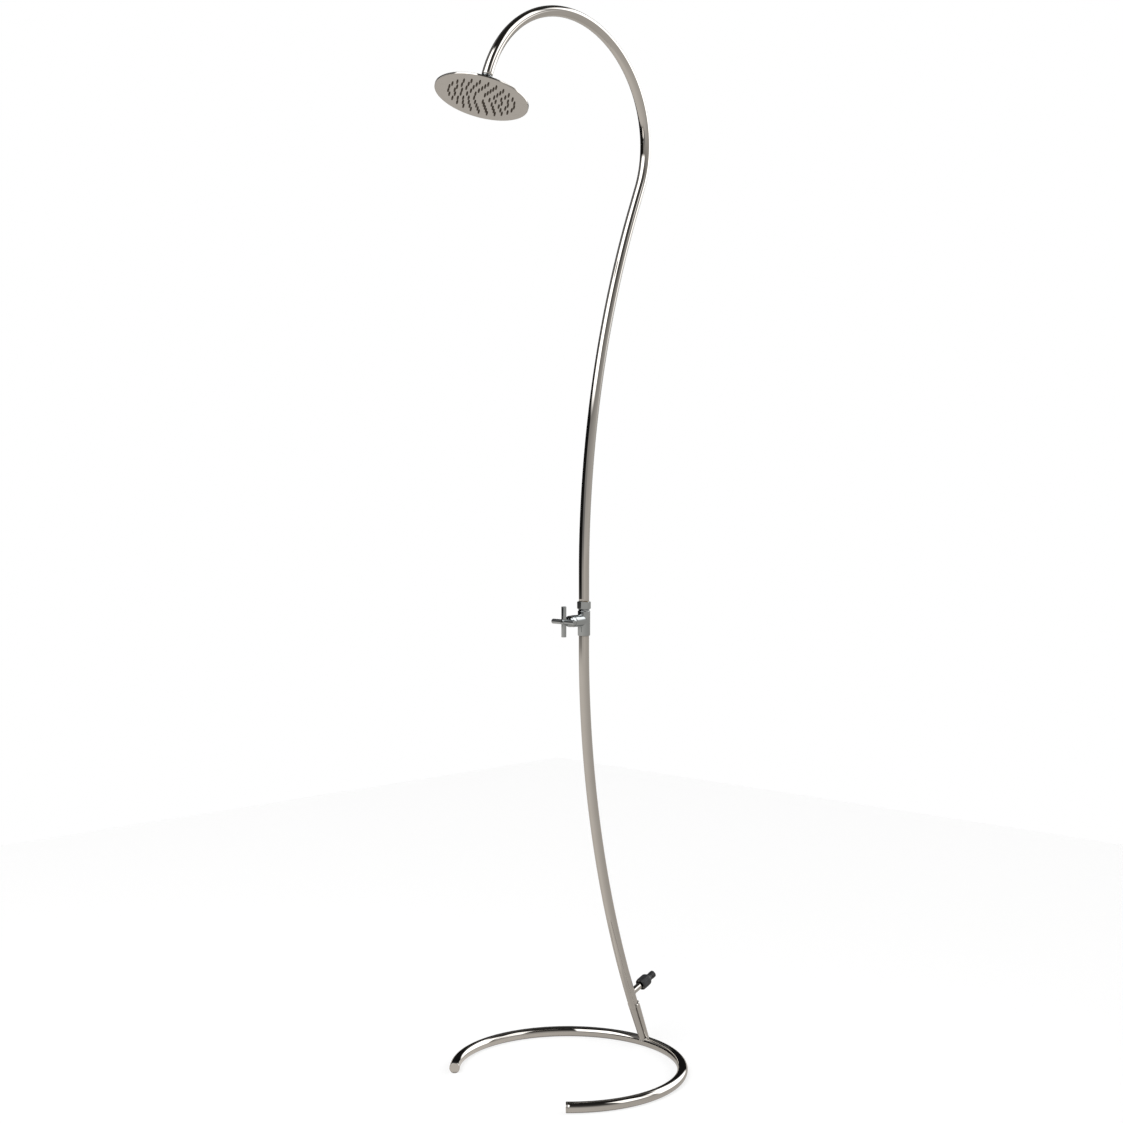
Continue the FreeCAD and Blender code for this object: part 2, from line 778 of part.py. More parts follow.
def handle_screw():
    """The screw that holds the handle on the spindle."""
    head = cylinder(screw_head_radius, screw_seat, screw_seat + screw_head_height)
    shank = cylinder(screw_radius, screw_seat - screw_length, screw_seat + screw_head_height / 2)
    top = screw_seat + screw_head_height
    socket = prism(2 * screw_socket_radius, top - screw_socket_depth, top + cut_extra)
    return at_handle(head.fuse(shank).cut(socket))


def handle_cap():
    """The small cap over the screw."""
    start = hub_end - cap_thickness
    top = hub_end + cap_rise
    cap = turned((0, start), (cap_radius, start), (cap_radius, hub_end), (cap_radius - cap_bevel, top), (0, top))
    return at_handle(cap)


# Union above the valve
union_thread_end = body_above + neck_length + union_thread_length
tail_start = union_thread_end + union_washer_thickness
tail_flange_end = tail_start + tail_flange_length
tail_radius = column_bore - tail_gap


def union_nut():
    """The hexagonal nut that pulls the upper column's tail down on the valve."""
    corner = nut_flats / 2 / cos(radians(30))
    flat = nut_flats / 2
    envelope = turned((0, nut_start), (flat, nut_start), (corner + nut_chamfer / 2, nut_start + nut_chamfer),
                      (corner + nut_chamfer / 2, nut_end - nut_chamfer), (flat, nut_end), (0, nut_end))
    lip = tail_flange_end + nut_lip_gap
    thread = cylinder(union_thread_radius + thread_gap, nut_start - cut_extra, lip)
    hole = cylinder(tail_radius + nut_lip_gap, lip - cut_extra, nut_end + cut_extra)
    nut = prism(nut_flats, nut_start, nut_end, nut_clock).common(envelope)
    return at_valve(nut.cut([thread, hole]))


def union_washer():
    """The flat seal in the union."""
    return at_valve(tube(tail_flange_radius, tail_bore_radius, union_thread_end, tail_start))


def union_tail():
    """The flanged tail brazed in the upper column."""
    end = upper_start + tail_insert
    tail = turned((tail_bore_radius, tail_start), (tail_flange_radius, tail_start),
                  (tail_flange_radius, tail_flange_end), (tail_radius, tail_flange_end),
                  (tail_radius, end), (tail_bore_radius, end))
    return at_valve(tail)


def upper_column():
    """The curved tube with the hook."""
    edges = [upper_run_edge, upper_bend_edge, back_edge, hook_edge]
    return swept(edges, upper_rim, 0, column_radius, column_bore)


# Ball joint
stem_flange_end = head_drop - stem_washer_thickness
stem_end = head_drop + stem_thread_length
liner_inner = ball_radius + ball_gap
liner_outer = liner_inner + liner_thickness
cup_radius = liner_outer + liner_gap


def on_sphere(radius, angle):
    """A point round the ball's centre, so many degrees from the stem's axis."""
    return (radius * sin(radians(angle)), ball_height + radius * cos(radians(angle)))


def height_on_sphere(radius, from_axis):
    """How far above the ball's centre a sphere is, at a distance from the axis."""
    return sqrt(radius ** 2 - from_axis ** 2)


def liner(start, end):
    """A ring between two spheres about the ball's centre."""
    middle = (start + end) / 2
    return turned(on_sphere(liner_inner, start), (on_sphere(liner_inner, middle), on_sphere(liner_inner, end)),
                  on_sphere(liner_outer, end), (on_sphere(liner_outer, middle), on_sphere(liner_outer, start)))


def hook_bush():
    """The threaded bush brazed in the hook's end; outside it follows the hook's curve."""
    turn = turn_for(bush_length, hook_radius)
    edge = bend(column_end, head_lean, hook_radius, turn)[0]
    plug = swept([edge], column_end, head_lean, column_bore - bush_wall_gap)
    bore = cylinder(stem_thread_radius + thread_gap, head_drop - cut_extra, head_drop + bush_length + cut_extra)
    return plug.cut(at_head(bore))


def stem_washer():
    """The seal between the hook's end and the stem's flange."""
    return at_head(tube(stem_flange_radius, stem_thread_radius + thread_gap, stem_flange_end, head_drop))


def ball_stem():
    """The ball with its flange and threaded shank, bored through for the water."""
    flange_start = stem_flange_end - stem_flange_thickness
    recess = stem_end - limiter_recess
    stem = turned((ball_bore_radius, ball_height - height_on_sphere(ball_radius, ball_bore_radius)),
                  ((ball_radius, ball_height),
                   (ball_neck_radius, ball_height + height_on_sphere(ball_radius, ball_neck_radius))),
                  (ball_neck_radius, flange_start), (stem_flange_radius, flange_start),
                  (stem_flange_radius, stem_flange_end), (stem_thread_radius, stem_flange_end),
                  (stem_thread_radius, stem_end), (limiter_radius, stem_end),
                  (limiter_radius, recess), (ball_bore_radius, recess))
    return at_head(stem)


def flow_limiter():
    """The disc with small holes in the stem's mouth."""
    start = stem_end - limiter_recess
    end = start + limiter_thickness
    disc = cylinder(limiter_radius - limiter_gap, start, end)
    holes = []
    for number in range(limiter_holes):
        angle = 2 * pi * number / limiter_holes
        holes.append(cylinder(limiter_hole_radius, start - cut_extra, end + cut_extra,
                              limiter_hole_circle * cos(angle), limiter_hole_circle * sin(angle)))
    return at_head(disc.cut(holes))


def ball_top_ring():
    """The slide ring above the ball; it turns about the stem."""
    return at_head(liner(top_ring_from, top_ring_to))


def ball_seat():
    """The seal ring under the ball."""
    return at_head(liner(seat_from, seat_to))


def ball_nut():
    """The nut that holds the head on the ball."""
    thread = boss_thread_radius + thread_gap
    shoulder = ball_height + thread_gap
    lip_height = height_on_sphere(cup_radius, ball_nut_lip)
    nut = turned((thread, ball_nut_start), (ball_nut_radius, ball_nut_start),
                 (ball_nut_radius, ball_nut_end - ball_nut_chamfer),
                 (ball_nut_radius - ball_nut_chamfer, ball_nut_end), (ball_nut_mouth, ball_nut_end),
                 (ball_nut_lip, ball_height + lip_height),
                 ((height_on_sphere(cup_radius, lip_height / 2), ball_height + lip_height / 2),
                  (height_on_sphere(cup_radius, thread_gap), shoulder)),
                 (thread, shoulder))
    return at_head(nut)


# Rain head
face_bore = head_radius - rim_wall
mat_bore = face_bore - face_ledge
mat_top = face_thickness + mat_thickness


def head_shell():
    """The back of the head with the boss that holds the ball's seat."""
    cavity_edge = mat_bore - mat_ledge
    half_way = (head_radius + shoulder_start) / 2
    roof_edge = shoulder_start - shell_wall
    cup_middle = cup_radius * sqrt(0.5)
    shell = turned((face_bore, 0), (head_radius, 0), (head_radius, rim_height - rim_rounding),
                   ((head_radius - rim_rounding * (1 - sqrt(0.5)), rim_height - rim_rounding * (1 - sqrt(0.5))),
                    (head_radius - rim_rounding, rim_height)),
                   ((half_way, (rim_height + shoulder_rise) / 2 + dome_bulge), (shoulder_start, shoulder_rise)),
                   ((boss_radius + boss_flare, shoulder_rise + boss_flare_rise), (boss_radius, boss_start)),
                   (boss_radius, boss_thread_start), (boss_thread_radius, boss_thread_start),
                   (boss_thread_radius, ball_height), (cup_radius, ball_height),
                   ((cup_middle, ball_height - cup_middle),
                    (throat_radius, ball_height - height_on_sphere(cup_radius, throat_radius))),
                   (throat_radius, shoulder_rise - shell_wall + dome_bulge),
                   (roof_edge, shoulder_rise - shell_wall),
                   ((half_way - mat_ledge, (rim_height + shoulder_rise) / 2 + dome_bulge - shell_wall),
                    (cavity_edge, mat_top + cavity_step)),
                   (cavity_edge, mat_top), (mat_bore, mat_top), (mat_bore, face_thickness),
                   (face_bore, face_thickness))
    return at_head(shell)


def nozzle_places():
    """The centres of the nozzles, in rings; every other ring is turned half a step."""
    places = []
    for ring in range(1, nozzle_rings + 1):
        count = nozzles_per_ring * ring
        radius = nozzle_ring_start + nozzle_ring_step * ring
        for number in range(count):
            angle = 2 * pi * (number + ring % 2 / 2) / count
            places.append((radius * cos(angle), radius * sin(angle)))
    return places


def face_plate():
    """The steel face with a hole for each nozzle."""
    holes = []
    for x, y in nozzle_places():
        holes.append(cylinder(nozzle_base_radius + nozzle_hole_gap, -cut_extra, face_thickness + cut_extra, x, y))
    return at_head(cylinder(face_bore - face_gap, 0, face_thickness).cut(Part.makeCompound(holes)))


def nozzle_mat():
    """The soft mat behind the face with its nozzles."""
    sheet = cylinder(mat_bore - face_gap, face_thickness, mat_top)
    height = face_thickness + nozzle_root + nozzle_proud
    cones = []
    bores = []
    for x, y in nozzle_places():
        cones.append(Part.makeCone(nozzle_tip_radius, nozzle_base_radius, height,
                                   FreeCAD.Vector(x, y, -nozzle_proud)))
        bores.append(cylinder(nozzle_bore_radius, -nozzle_proud - cut_extra, mat_top + cut_extra, x, y))
    return at_head(sheet.fuse(cones).cut(Part.makeCompound(bores)))


def main():
    """Makes every sub-part and writes it."""
    os.makedirs("parts", exist_ok=True)
    save("base_ring", base_ring())
    left_plug = ring_end_plug()
    save("ring_end_plug_left", left_plug)
    save("ring_end_plug_right", left_plug.mirror(FreeCAD.Vector(0, 0, 0), FreeCAD.Vector(0, 1, 0)))
    for maker in (foot_spigot, foot_cradle, foot_grub_screws, lower_column, column_plug, inlet_stub,
                  inlet_thread_boss, connector_washer, hose_connector, connector_o_ring, valve_body,
                  seat_seal, fixed_ceramic_disc, moving_ceramic_disc, headwork_body, headwork_o_ring,
                  valve_spindle, spindle_o_ring, spindle_circlip, bonnet_shroud, cross_handle,
                  handle_screw, handle_cap, union_nut, union_washer, union_tail, upper_column,
                  hook_bush, stem_washer, ball_stem, flow_limiter, ball_top_ring, ball_seat, ball_nut,
                  head_shell, face_plate, nozzle_mat):
        save(maker.__name__, maker())


main()
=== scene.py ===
import bpy
import json
import numpy as np
from math import cos, pi, radians, sin
from types import SimpleNamespace
from mathutils import Matrix, Vector


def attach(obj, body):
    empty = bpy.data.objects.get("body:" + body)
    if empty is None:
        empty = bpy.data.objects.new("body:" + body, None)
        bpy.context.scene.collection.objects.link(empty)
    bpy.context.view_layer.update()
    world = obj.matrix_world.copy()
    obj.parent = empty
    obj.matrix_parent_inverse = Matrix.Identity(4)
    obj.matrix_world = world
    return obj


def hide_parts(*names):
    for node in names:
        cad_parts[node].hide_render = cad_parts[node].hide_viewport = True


# Outdoor shower: the finished look of the ring, the column, the valve and the rain head.
# Sizes in the dictionaries are millimetres and degrees, in the frame's own axes.

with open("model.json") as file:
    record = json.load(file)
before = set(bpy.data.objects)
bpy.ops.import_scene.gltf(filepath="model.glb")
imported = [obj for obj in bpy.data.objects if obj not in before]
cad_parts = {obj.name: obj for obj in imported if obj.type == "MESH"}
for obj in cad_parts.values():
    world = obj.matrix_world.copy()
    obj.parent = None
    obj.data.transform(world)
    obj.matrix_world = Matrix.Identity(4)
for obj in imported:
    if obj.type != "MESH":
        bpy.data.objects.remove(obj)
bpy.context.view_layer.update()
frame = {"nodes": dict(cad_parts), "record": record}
toMetres = 0.001
bpy.context.scene.view_settings.view_transform = "Standard"


# sRGB hex to linear: each channel c becomes ((c + 0.055) / 1.055) ^ 2.4, or c / 12.92 when dark
def linear(hexColour):
    channels = np.array([int(hexColour[i:i + 2], 16) / 255 for i in (1, 3, 5)])
    bright = ((channels + 0.055) / 1.055) ** 2.4
    return tuple(np.where(channels <= 0.04045, channels / 12.92, bright).tolist()) + (1.0,)


# adds one node: its settings, then its inputs, where another node's socket is linked and
# anything else is a plain value
def addNode(tree, kind, inputs=None, **settings):
    node = tree.nodes.new(kind)
    for key, value in settings.items():
        setattr(node, key, value)
    for socket, value in (inputs or {}).items():
        if isinstance(value, bpy.types.NodeSocket):
            tree.links.new(value, node.inputs[socket])
        else:
            node.inputs[socket].default_value = value
    return node


# where a colour Mix node keeps its two colours and its result
mixUnder, mixOver, mixResult = 6, 7, 2


# fills a mesh from a grid of points whose rows are closed rings: neighbours become one
# four-sided face, and closeEnds fans the first and the last ring round its middle
def gridMesh(points, wrapRows=False, closeEnds=False):
    rows, columns = points.shape[:2]
    index = np.arange(rows * columns).reshape(rows, columns)
    down = np.roll(index, -1, 0) if wrapRows else index[1:]
    top = index if wrapRows else index[:-1]
    faces = np.stack([top, np.roll(top, -1, 1), np.roll(down, -1, 1), down], -1).reshape(-1, 4)
    places = points.reshape(-1, 3)
    triangles = np.zeros((0, 3), int)
    if closeEnds:
        middle = rows * columns
        places = np.concatenate([places, points[0].mean(0)[None], points[-1].mean(0)[None]])
        first, last = index[0], index[-1]
        fanFirst = np.stack([np.full(columns, middle), np.roll(first, -1), first], -1)
        fanLast = np.stack([np.full(columns, middle + 1), last, np.roll(last, -1)], -1)
        triangles = np.concatenate([fanFirst, fanLast])
    mesh = bpy.data.meshes.new("grid")
    mesh.vertices.add(len(places))
    mesh.vertices.foreach_set("co", places.astype(np.float32).ravel())
    corners = np.concatenate([faces.ravel(), triangles.ravel()])
    starts = np.concatenate([np.arange(len(faces)) * 4,
                             len(faces) * 4 + np.arange(len(triangles)) * 3])
    mesh.loops.add(len(corners))
    mesh.loops.foreach_set("vertex_index", corners.astype(np.int32))
    mesh.polygons.add(len(starts))
    mesh.polygons.foreach_set("loop_start", starts.astype(np.int32))
    mesh.update(calc_edges=True)
    mesh.validate()
    return mesh


# makes the finished piece: its shading, the finish of its slot, the body it rides on and the
# nodes it stands for; an edge that turns by more than sharp degrees stays crisp
def addPiece(name, mesh, slot, body="stand", stands=(), sharp=32):
    mesh.name = name
    mesh.polygons.foreach_set("use_smooth", np.ones(len(mesh.polygons), bool))
    mesh.set_sharp_from_angle(angle=radians(sharp))
    piece = bpy.data.objects.new(name, mesh)
    bpy.context.scene.collection.objects.link(piece)
    mesh.materials.append(finishes[slot])
    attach(piece, body)
    if stands:
        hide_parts(*stands)


# fillets that many edges share
fillet = SimpleNamespace(tight=0.1, fine=0.2, plain=0.3, soft=0.4)
nearly = 0.01       # keeps a comparison of lengths or a division safe from rounding


# rounds the corners of a profile: each row is (radius, height, fillet), and a fillet is the
# arc that touches both sides, at fillet / tan(half angle) from the corner
def rounded(corners, steps=5, closed=False):
    table = np.array(corners, float)
    spots = table[:, :2]
    count = len(spots)
    line = []
    for number in range(count):
        here, bend = spots[number], table[number, 2]
        isEnd = not closed and number in (0, count - 1)
        if isEnd or bend <= 0:
            line.append(here[None])
            continue
        before = spots[number - 1] - here
        after = spots[(number + 1) % count] - here
        before, after = before / np.linalg.norm(before), after / np.linalg.norm(after)
        half = np.arccos(np.clip(before @ after, -1, 1)) / 2
        middle = before + after
        centre = here + middle / np.linalg.norm(middle) * bend / np.sin(half)
        first = here + before * bend / np.tan(half) - centre
        last = here + after * bend / np.tan(half) - centre
        sweep = np.arccos(np.clip(first @ last / bend ** 2, -1, 1))
        part = np.linspace(0, 1, steps + 1)[:, None]
        arc = np.sin((1 - part) * sweep) * first + np.sin(part * sweep) * last
        line.append(centre + arc / np.sin(sweep))
    return np.concatenate(line)


# a shallow curve through three points of a profile, as a parabola
def through(first, middle, last, count):
    first, middle, last = (np.array(spot, float) for spot in (first, middle, last))
    pull = 2 * middle - (first + last) / 2
    way = np.linspace(0, 1, count)[:, None]
    curve = (1 - way) ** 2 * first + 2 * way * (1 - way) * pull + way ** 2 * last
    return np.concatenate([curve, 0 * way], 1)


# part of a circle, centre + r (cos a, sin a), for a profile; a is in degrees from level
def arcLine(centre, radius, start, stop, count):
    angle = np.radians(np.linspace(start, stop, count))
    return np.stack([centre[0] + radius * np.cos(angle), centre[1] + radius * np.sin(angle),
                     0 * angle], -1)


# the place of a piece made along Z: its foot, and its axis in the plane Y = 0, leaned
# from straight up towards +X
def leaned(point, lean):
    turn = Matrix.Rotation(radians(lean), 4, "Y")
    return np.array(Matrix.Translation((point[0], 0, point[1])) @ turn)


# turns points to their place, then to metres
def placed(points, place):
    return (points @ place[:3, :3].T + place[:3, 3]) * toMetres


# surface of revolution: (r cos t, r sin t, z) for each point (r, z) of the profile; bump is
# added to the radius and may depend on the angle, the height and the radius
def turnedMesh(profile, place, segments=96, closedLoop=False, bump=None):
    angle = np.linspace(0, 2 * pi, segments, endpoint=False)
    radius, height = profile[:, :1], profile[:, 1:2]
    reach = radius + (bump(angle[None], height, radius) if bump is not None else 0)
    points = np.stack([reach * np.cos(angle), reach * np.sin(angle), height + 0 * angle], -1)
    return gridMesh(placed(points, place), wrapRows=closedLoop, closeEnds=not closedLoop)


# a line in the plane Y = 0 made of runs (length, turn): the lean changes evenly along a run,
# so the run is the integral of (sin lean, cos lean)
def runLine(start, lean, runs, step=5.0):
    spots, leans = [np.array([start], float)], [np.array([float(lean)])]
    for length, turn in runs:
        count = max(2, int(length / step) + 1)
        way = np.linspace(0, length, count)[1:]
        here, now = spots[-1][-1], radians(leans[-1][-1])
        rate = radians(turn) / length
        if turn:
            across = (np.cos(now) - np.cos(now + rate * way)) / rate
            up = (np.sin(now + rate * way) - np.sin(now)) / rate
        else:
            across, up = way * np.sin(now), way * np.cos(now)
        spots.append(here + np.stack([across, up], -1))
        leans.append(np.degrees(now + rate * way))
    return np.concatenate(spots), np.concatenate(leans)


# tube along a line: centre + r (cos t * side + sin t * across); the outer wall goes there,
# the inner wall comes back, and each rim has a small bevel with a slighter one before it
def tubeMesh(centres, sides, acrosses, outer, inner, bevel, slightShare=0.3, segments=72):
    along = np.cross(sides, acrosses)
    count = len(centres)
    last = count - 1
    slight = bevel * slightShare
    order = np.concatenate([[0, 0], np.arange(count), [last, last, last],
                            np.arange(count)[::-1], [0]])
    reach = np.concatenate([[outer - bevel, outer - slight], np.full(count, outer),
                            [outer - slight, outer - bevel, inner], np.full(count, inner),
                            [inner]])
    shift = np.zeros(len(order))
    shift[[1, 2]] = slight, bevel
    shift[[count + 1, count + 2]] = -bevel, -slight
    angle = np.linspace(0, 2 * pi, segments, endpoint=False)[None, :, None]
    middle = (centres[order] + along[order] * shift[:, None])[:, None]
    points = middle + reach[:, None, None] * (np.cos(angle) * sides[order][:, None]
                                              + np.sin(angle) * acrosses[order][:, None])
    return gridMesh(points * toMetres, wrapRows=True)


# weld bead: a thin tube round a closed line, whose radius swells along the way as
# radius * (1 + ripple * sin(waves * turn))
def beadMesh(line, place, radius, ripple, waves, segments=14):
    ahead = np.roll(line, -1, 0) - np.roll(line, 1, 0)
    ahead = ahead / np.linalg.norm(ahead, axis=1)[:, None]
    out = line * (1, 1, 0)
    out = out - ahead * (out * ahead).sum(1)[:, None]
    out = out / np.linalg.norm(out, axis=1)[:, None]
    up = np.cross(ahead, out)
    turn = np.linspace(0, 2 * pi, len(line), endpoint=False)[:, None, None]
    angle = np.linspace(0, 2 * pi, segments, endpoint=False)[None, :, None]
    reach = radius * (1 + ripple * np.sin(waves * turn))
    points = line[:, None] + reach * (np.cos(angle) * out[:, None] + np.sin(angle) * up[:, None])
    return gridMesh(placed(points, place), wrapRows=True)


cameraView = {
    "place": (-2588.5, -2534.9, 1237.0),
    "heading": 44.635,          # degrees from +X towards +Y
    "pitch": -2.514,
    "focalPixels": 1741.0,      # for an image 1123 pixels wide
    "imagePixels": 1123.0,
    "sensorWidth": 36.0,
    "clipEnd": 100.0,           # metres
}


# the camera looks along (cos heading cos pitch, sin heading cos pitch, sin pitch)
def addCamera(view):
    lens = bpy.data.cameras.new("camera")
    lens.sensor_fit = "HORIZONTAL"
    lens.sensor_width = view["sensorWidth"]
    lens.lens = view["focalPixels"] / view["imagePixels"] * view["sensorWidth"]
    lens.clip_end = view["clipEnd"]
    camera = bpy.data.objects.new("camera", lens)
    heading, pitch = radians(view["heading"]), radians(view["pitch"])
    forward = Vector((cos(heading) * cos(pitch), sin(heading) * cos(pitch), sin(pitch)))
    camera.location = Vector(view["place"]) * toMetres
    camera.rotation_euler = forward.to_track_quat("-Z", "Y").to_euler()
    bpy.context.scene.collection.objects.link(camera)
    bpy.context.scene.camera = camera


addCamera(cameraView)
print("camera ready")


# what the polished metal mirrors: a pale warm floor, walls that darken upwards to a black
# ceiling, three white softboxes and dark flags; azimuths are degrees from +X towards +Y
studio = {
    "floorTone": "#CDC9C4",
    "bright": (145.0, 0.16),          # the floor is brighter towards this azimuth, by this share
    "horizon": (-2.5, 0.5),           # elevations between which the floor gives way to the walls
    "wallTint": (1.0, 0.97, 0.93),
    # elevation and brightness of the bare walls
    "walls": [(-1.0, 0.62), (0.5, 0.56), (12.0, 0.40), (20.0, 0.28), (28.0, 0.10),
              (40.0, 0.05), (62.0, 0.02)],
    # azimuth, elevation, half width, half height, soft edge, brightness
    "panels": [
        (55.0, 44.0, 38.0, 17.0, 8.0, 0.09),      # dim wall behind the object
        (118.0, 36.0, 30.0, 18.0, 8.0, 0.20),     # grey wall on the left
        (188.0, 4.0, 28.0, 7.0, 14.0, 0.20),      # low grey wall left of the camera
        (131.0, 7.0, 45.0, 12.5, 5.0, 0.01),      # black flag low on the left
        (54.0, 13.0, 38.0, 16.0, 4.0, 0.01),      # black flag low behind the object
        (182.0, 41.5, 33.0, 21.5, 5.0, 2.6),      # large softbox left of the camera
        (295.0, 40.0, 18.5, 18.5, 7.0, 2.2),      # small softbox on the right
        (327.0, 50.0, 9.0, 7.0, 5.0, 0.03),       # dark gap between the two on the right
        (346.0, 24.5, 28.0, 21.0, 7.0, 2.4),      # softbox far on the right
    ],
}
pureWhite = (1.0, 1.0, 1.0, 1.0)


# the floor's mirror tone: its colour times 1 + share * cos(azimuth - brightest azimuth)
def sideLight(tree, way, settings):
    azimuth, share = settings["bright"]
    brightest = (cos(radians(azimuth)), sin(radians(azimuth)), 0.0)
    facing = addNode(tree, "ShaderNodeVectorMath", {0: way, 1: brightest},
                     operation="DOT_PRODUCT").outputs["Value"]
    gain = addNode(tree, "ShaderNodeMapRange", {"Value": facing, "From Min": -1.0,
                                                "To Min": 1.0 - share,
                                                "To Max": 1.0 + share}).outputs[0]
    return addNode(tree, "ShaderNodeVectorMath",
                   {0: linear(settings["floorTone"])[:3], "Scale": gain},
                   operation="SCALE").outputs[0]


# the surroundings, worked out from the azimuth, arctan2(y, x), and the elevation, arcsin(z)
def buildWorld(settings):
    world = bpy.data.worlds.new("studio")
    bpy.context.scene.world = world
    world.use_nodes = True
    tree = world.node_tree
    tree.nodes.clear()
    way = addNode(tree, "ShaderNodeTexCoord").outputs["Generated"]
    parts = addNode(tree, "ShaderNodeSeparateXYZ", {"Vector": way}).outputs
    azimuth = addNode(tree, "ShaderNodeMath", {0: parts["Y"], 1: parts["X"]},
                      operation="ARCTAN2").outputs[0]
    elevation = addNode(tree, "ShaderNodeMath", {0: parts["Z"]}, operation="ARCSINE").outputs[0]

    # 1 inside an interval and 0 outside it, with a soft edge; an azimuth wraps round
    def inside(value, middle, half, soft, wraps):
        offset = addNode(tree, "ShaderNodeMath", {0: value, 1: radians(middle)},
                         operation="SUBTRACT").outputs[0]
        if wraps:
            offset = addNode(tree, "ShaderNodeMath", {0: offset, 1: pi, 2: -pi},
                             operation="WRAP").outputs[0]
        size = addNode(tree, "ShaderNodeMath", {0: offset}, operation="ABSOLUTE").outputs[0]
        return addNode(tree, "ShaderNodeMapRange",
                       {"Value": size, "From Min": radians(half + soft / 2),
                        "From Max": radians(half - soft / 2)},
                       interpolation_type="SMOOTHSTEP").outputs[0]

    # the walls: a ramp of brightness over the elevation
    start, stop = settings["walls"][0][0], settings["walls"][-1][0]
    climb = addNode(tree, "ShaderNodeMapRange",
                    {"Value": elevation, "From Min": radians(start),
                     "From Max": radians(stop)}).outputs[0]
    walls = addNode(tree, "ShaderNodeValToRGB", {"Fac": climb})
    while len(walls.color_ramp.elements) < len(settings["walls"]):
        walls.color_ramp.elements.new(0.5)
    for element, (height, bright) in zip(walls.color_ramp.elements, settings["walls"]):
        element.position = (height - start) / (stop - start)
        element.color = tuple(bright * share for share in settings["wallTint"]) + (1.0,)

    # the floor lies under the walls, and each panel goes over what is there already
    low, high = settings["horizon"]
    above = addNode(tree, "ShaderNodeMapRange",
                    {"Value": elevation, "From Min": radians(low),
                     "From Max": radians(high)}).outputs[0]
    tone = addNode(tree, "ShaderNodeMix",
                   {"Factor": above, mixUnder: sideLight(tree, way, settings),
                    mixOver: walls.outputs[0]}, data_type="RGBA").outputs[mixResult]
    for middle, height, halfWidth, halfHeight, soft, bright in settings["panels"]:
        level = inside(elevation, height, halfHeight, soft, False)
        side = inside(azimuth, middle, halfWidth, soft, True)
        mask = addNode(tree, "ShaderNodeMath", {0: level, 1: side},
                       operation="MULTIPLY").outputs[0]
        tone = addNode(tree, "ShaderNodeMix",
                       {"Factor": mask, mixUnder: tone, mixOver: (bright, bright, bright, 1.0)},
                       data_type="RGBA").outputs[mixResult]

    # only the camera sees white; every other ray meets the same studio, so that light and
    # mirror image agree
    seen = addNode(tree, "ShaderNodeLightPath").outputs["Is Camera Ray"]
    tone = addNode(tree, "ShaderNodeMix", {"Factor": seen, mixUnder: tone, mixOver: pureWhite},
                   data_type="RGBA").outputs[mixResult]
    light = addNode(tree, "ShaderNodeBackground", {"Color": tone, "Strength": 1.0})
    addNode(tree, "ShaderNodeOutputWorld", {"Surface": light.outputs[0]})


buildWorld(studio)

floorLook = {
    "half": 3.0,                # metres
    "shadowShare": 0.30,        # how much of the shadow the camera sees
    "whiteGlow": 1.06,
}


# a plain pale floor: white to the camera with a faint shadow, warm grey in the metal
def addFloor(look):
    half = look["half"]
    mesh = bpy.data.meshes.new("floor")
    mesh.from_pydata([(-half, -half, 0), (half, -half, 0), (half, half, 0), (-half, half, 0)],
                     [], [(0, 1, 2, 3)])
    material = bpy.data.materials.new("paleFloor")
    material.use_nodes = True
    tree = material.node_tree
    tree.nodes.clear()
    path = addNode(tree, "ShaderNodeLightPath").outputs
    white = addNode(tree, "ShaderNodeEmission", {"Color": pureWhite,
                                                 "Strength": look["whiteGlow"]}).outputs[0]
    matt = addNode(tree, "ShaderNodeBsdfDiffuse", {"Color": pureWhite}).outputs[0]
    seen = addNode(tree, "ShaderNodeMixShader",
                   {0: look["shadowShare"], 1: white, 2: matt}).outputs[0]
    place = addNode(tree, "ShaderNodeTexCoord").outputs["Object"]
    way = addNode(tree, "ShaderNodeVectorMath", {0: place}, operation="NORMALIZE").outputs[0]
    warm = addNode(tree, "ShaderNodeEmission", {"Color": sideLight(tree, way, studio)}).outputs[0]
    surface = addNode(tree, "ShaderNodeMixShader",
                      {0: path["Is Camera Ray"], 1: warm, 2: seen}).outputs[0]
    addNode(tree, "ShaderNodeOutputMaterial", {"Surface": surface})
    mesh.materials.append(material)
    floor = bpy.data.objects.new("floor", mesh)
    bpy.context.scene.collection.objects.link(floor)


addFloor(floorLook)

# metres; it lights matt surfaces, and the metal mirrors the studio instead
keyLamp = {"place": (-2.4, -0.6, 3.4), "aim": (0.0, 0.0, 1.0), "size": 2.0, "watts": 60.0}


def addLamp(lamp):
    light = bpy.data.lights.new("softLamp", "AREA")
    light.size = lamp["size"]
    light.energy = lamp["watts"]
    source = bpy.data.objects.new("softLamp", light)
    source.location = lamp["place"]
    forward = Vector(lamp["aim"]) - Vector(lamp["place"])
    source.rotation_euler = forward.to_track_quat("-Z", "Y").to_euler()
    source.visible_glossy = False
    source.visible_camera = False
    bpy.context.scene.collection.objects.link(source)


addLamp(keyLamp)
print("studio ready")


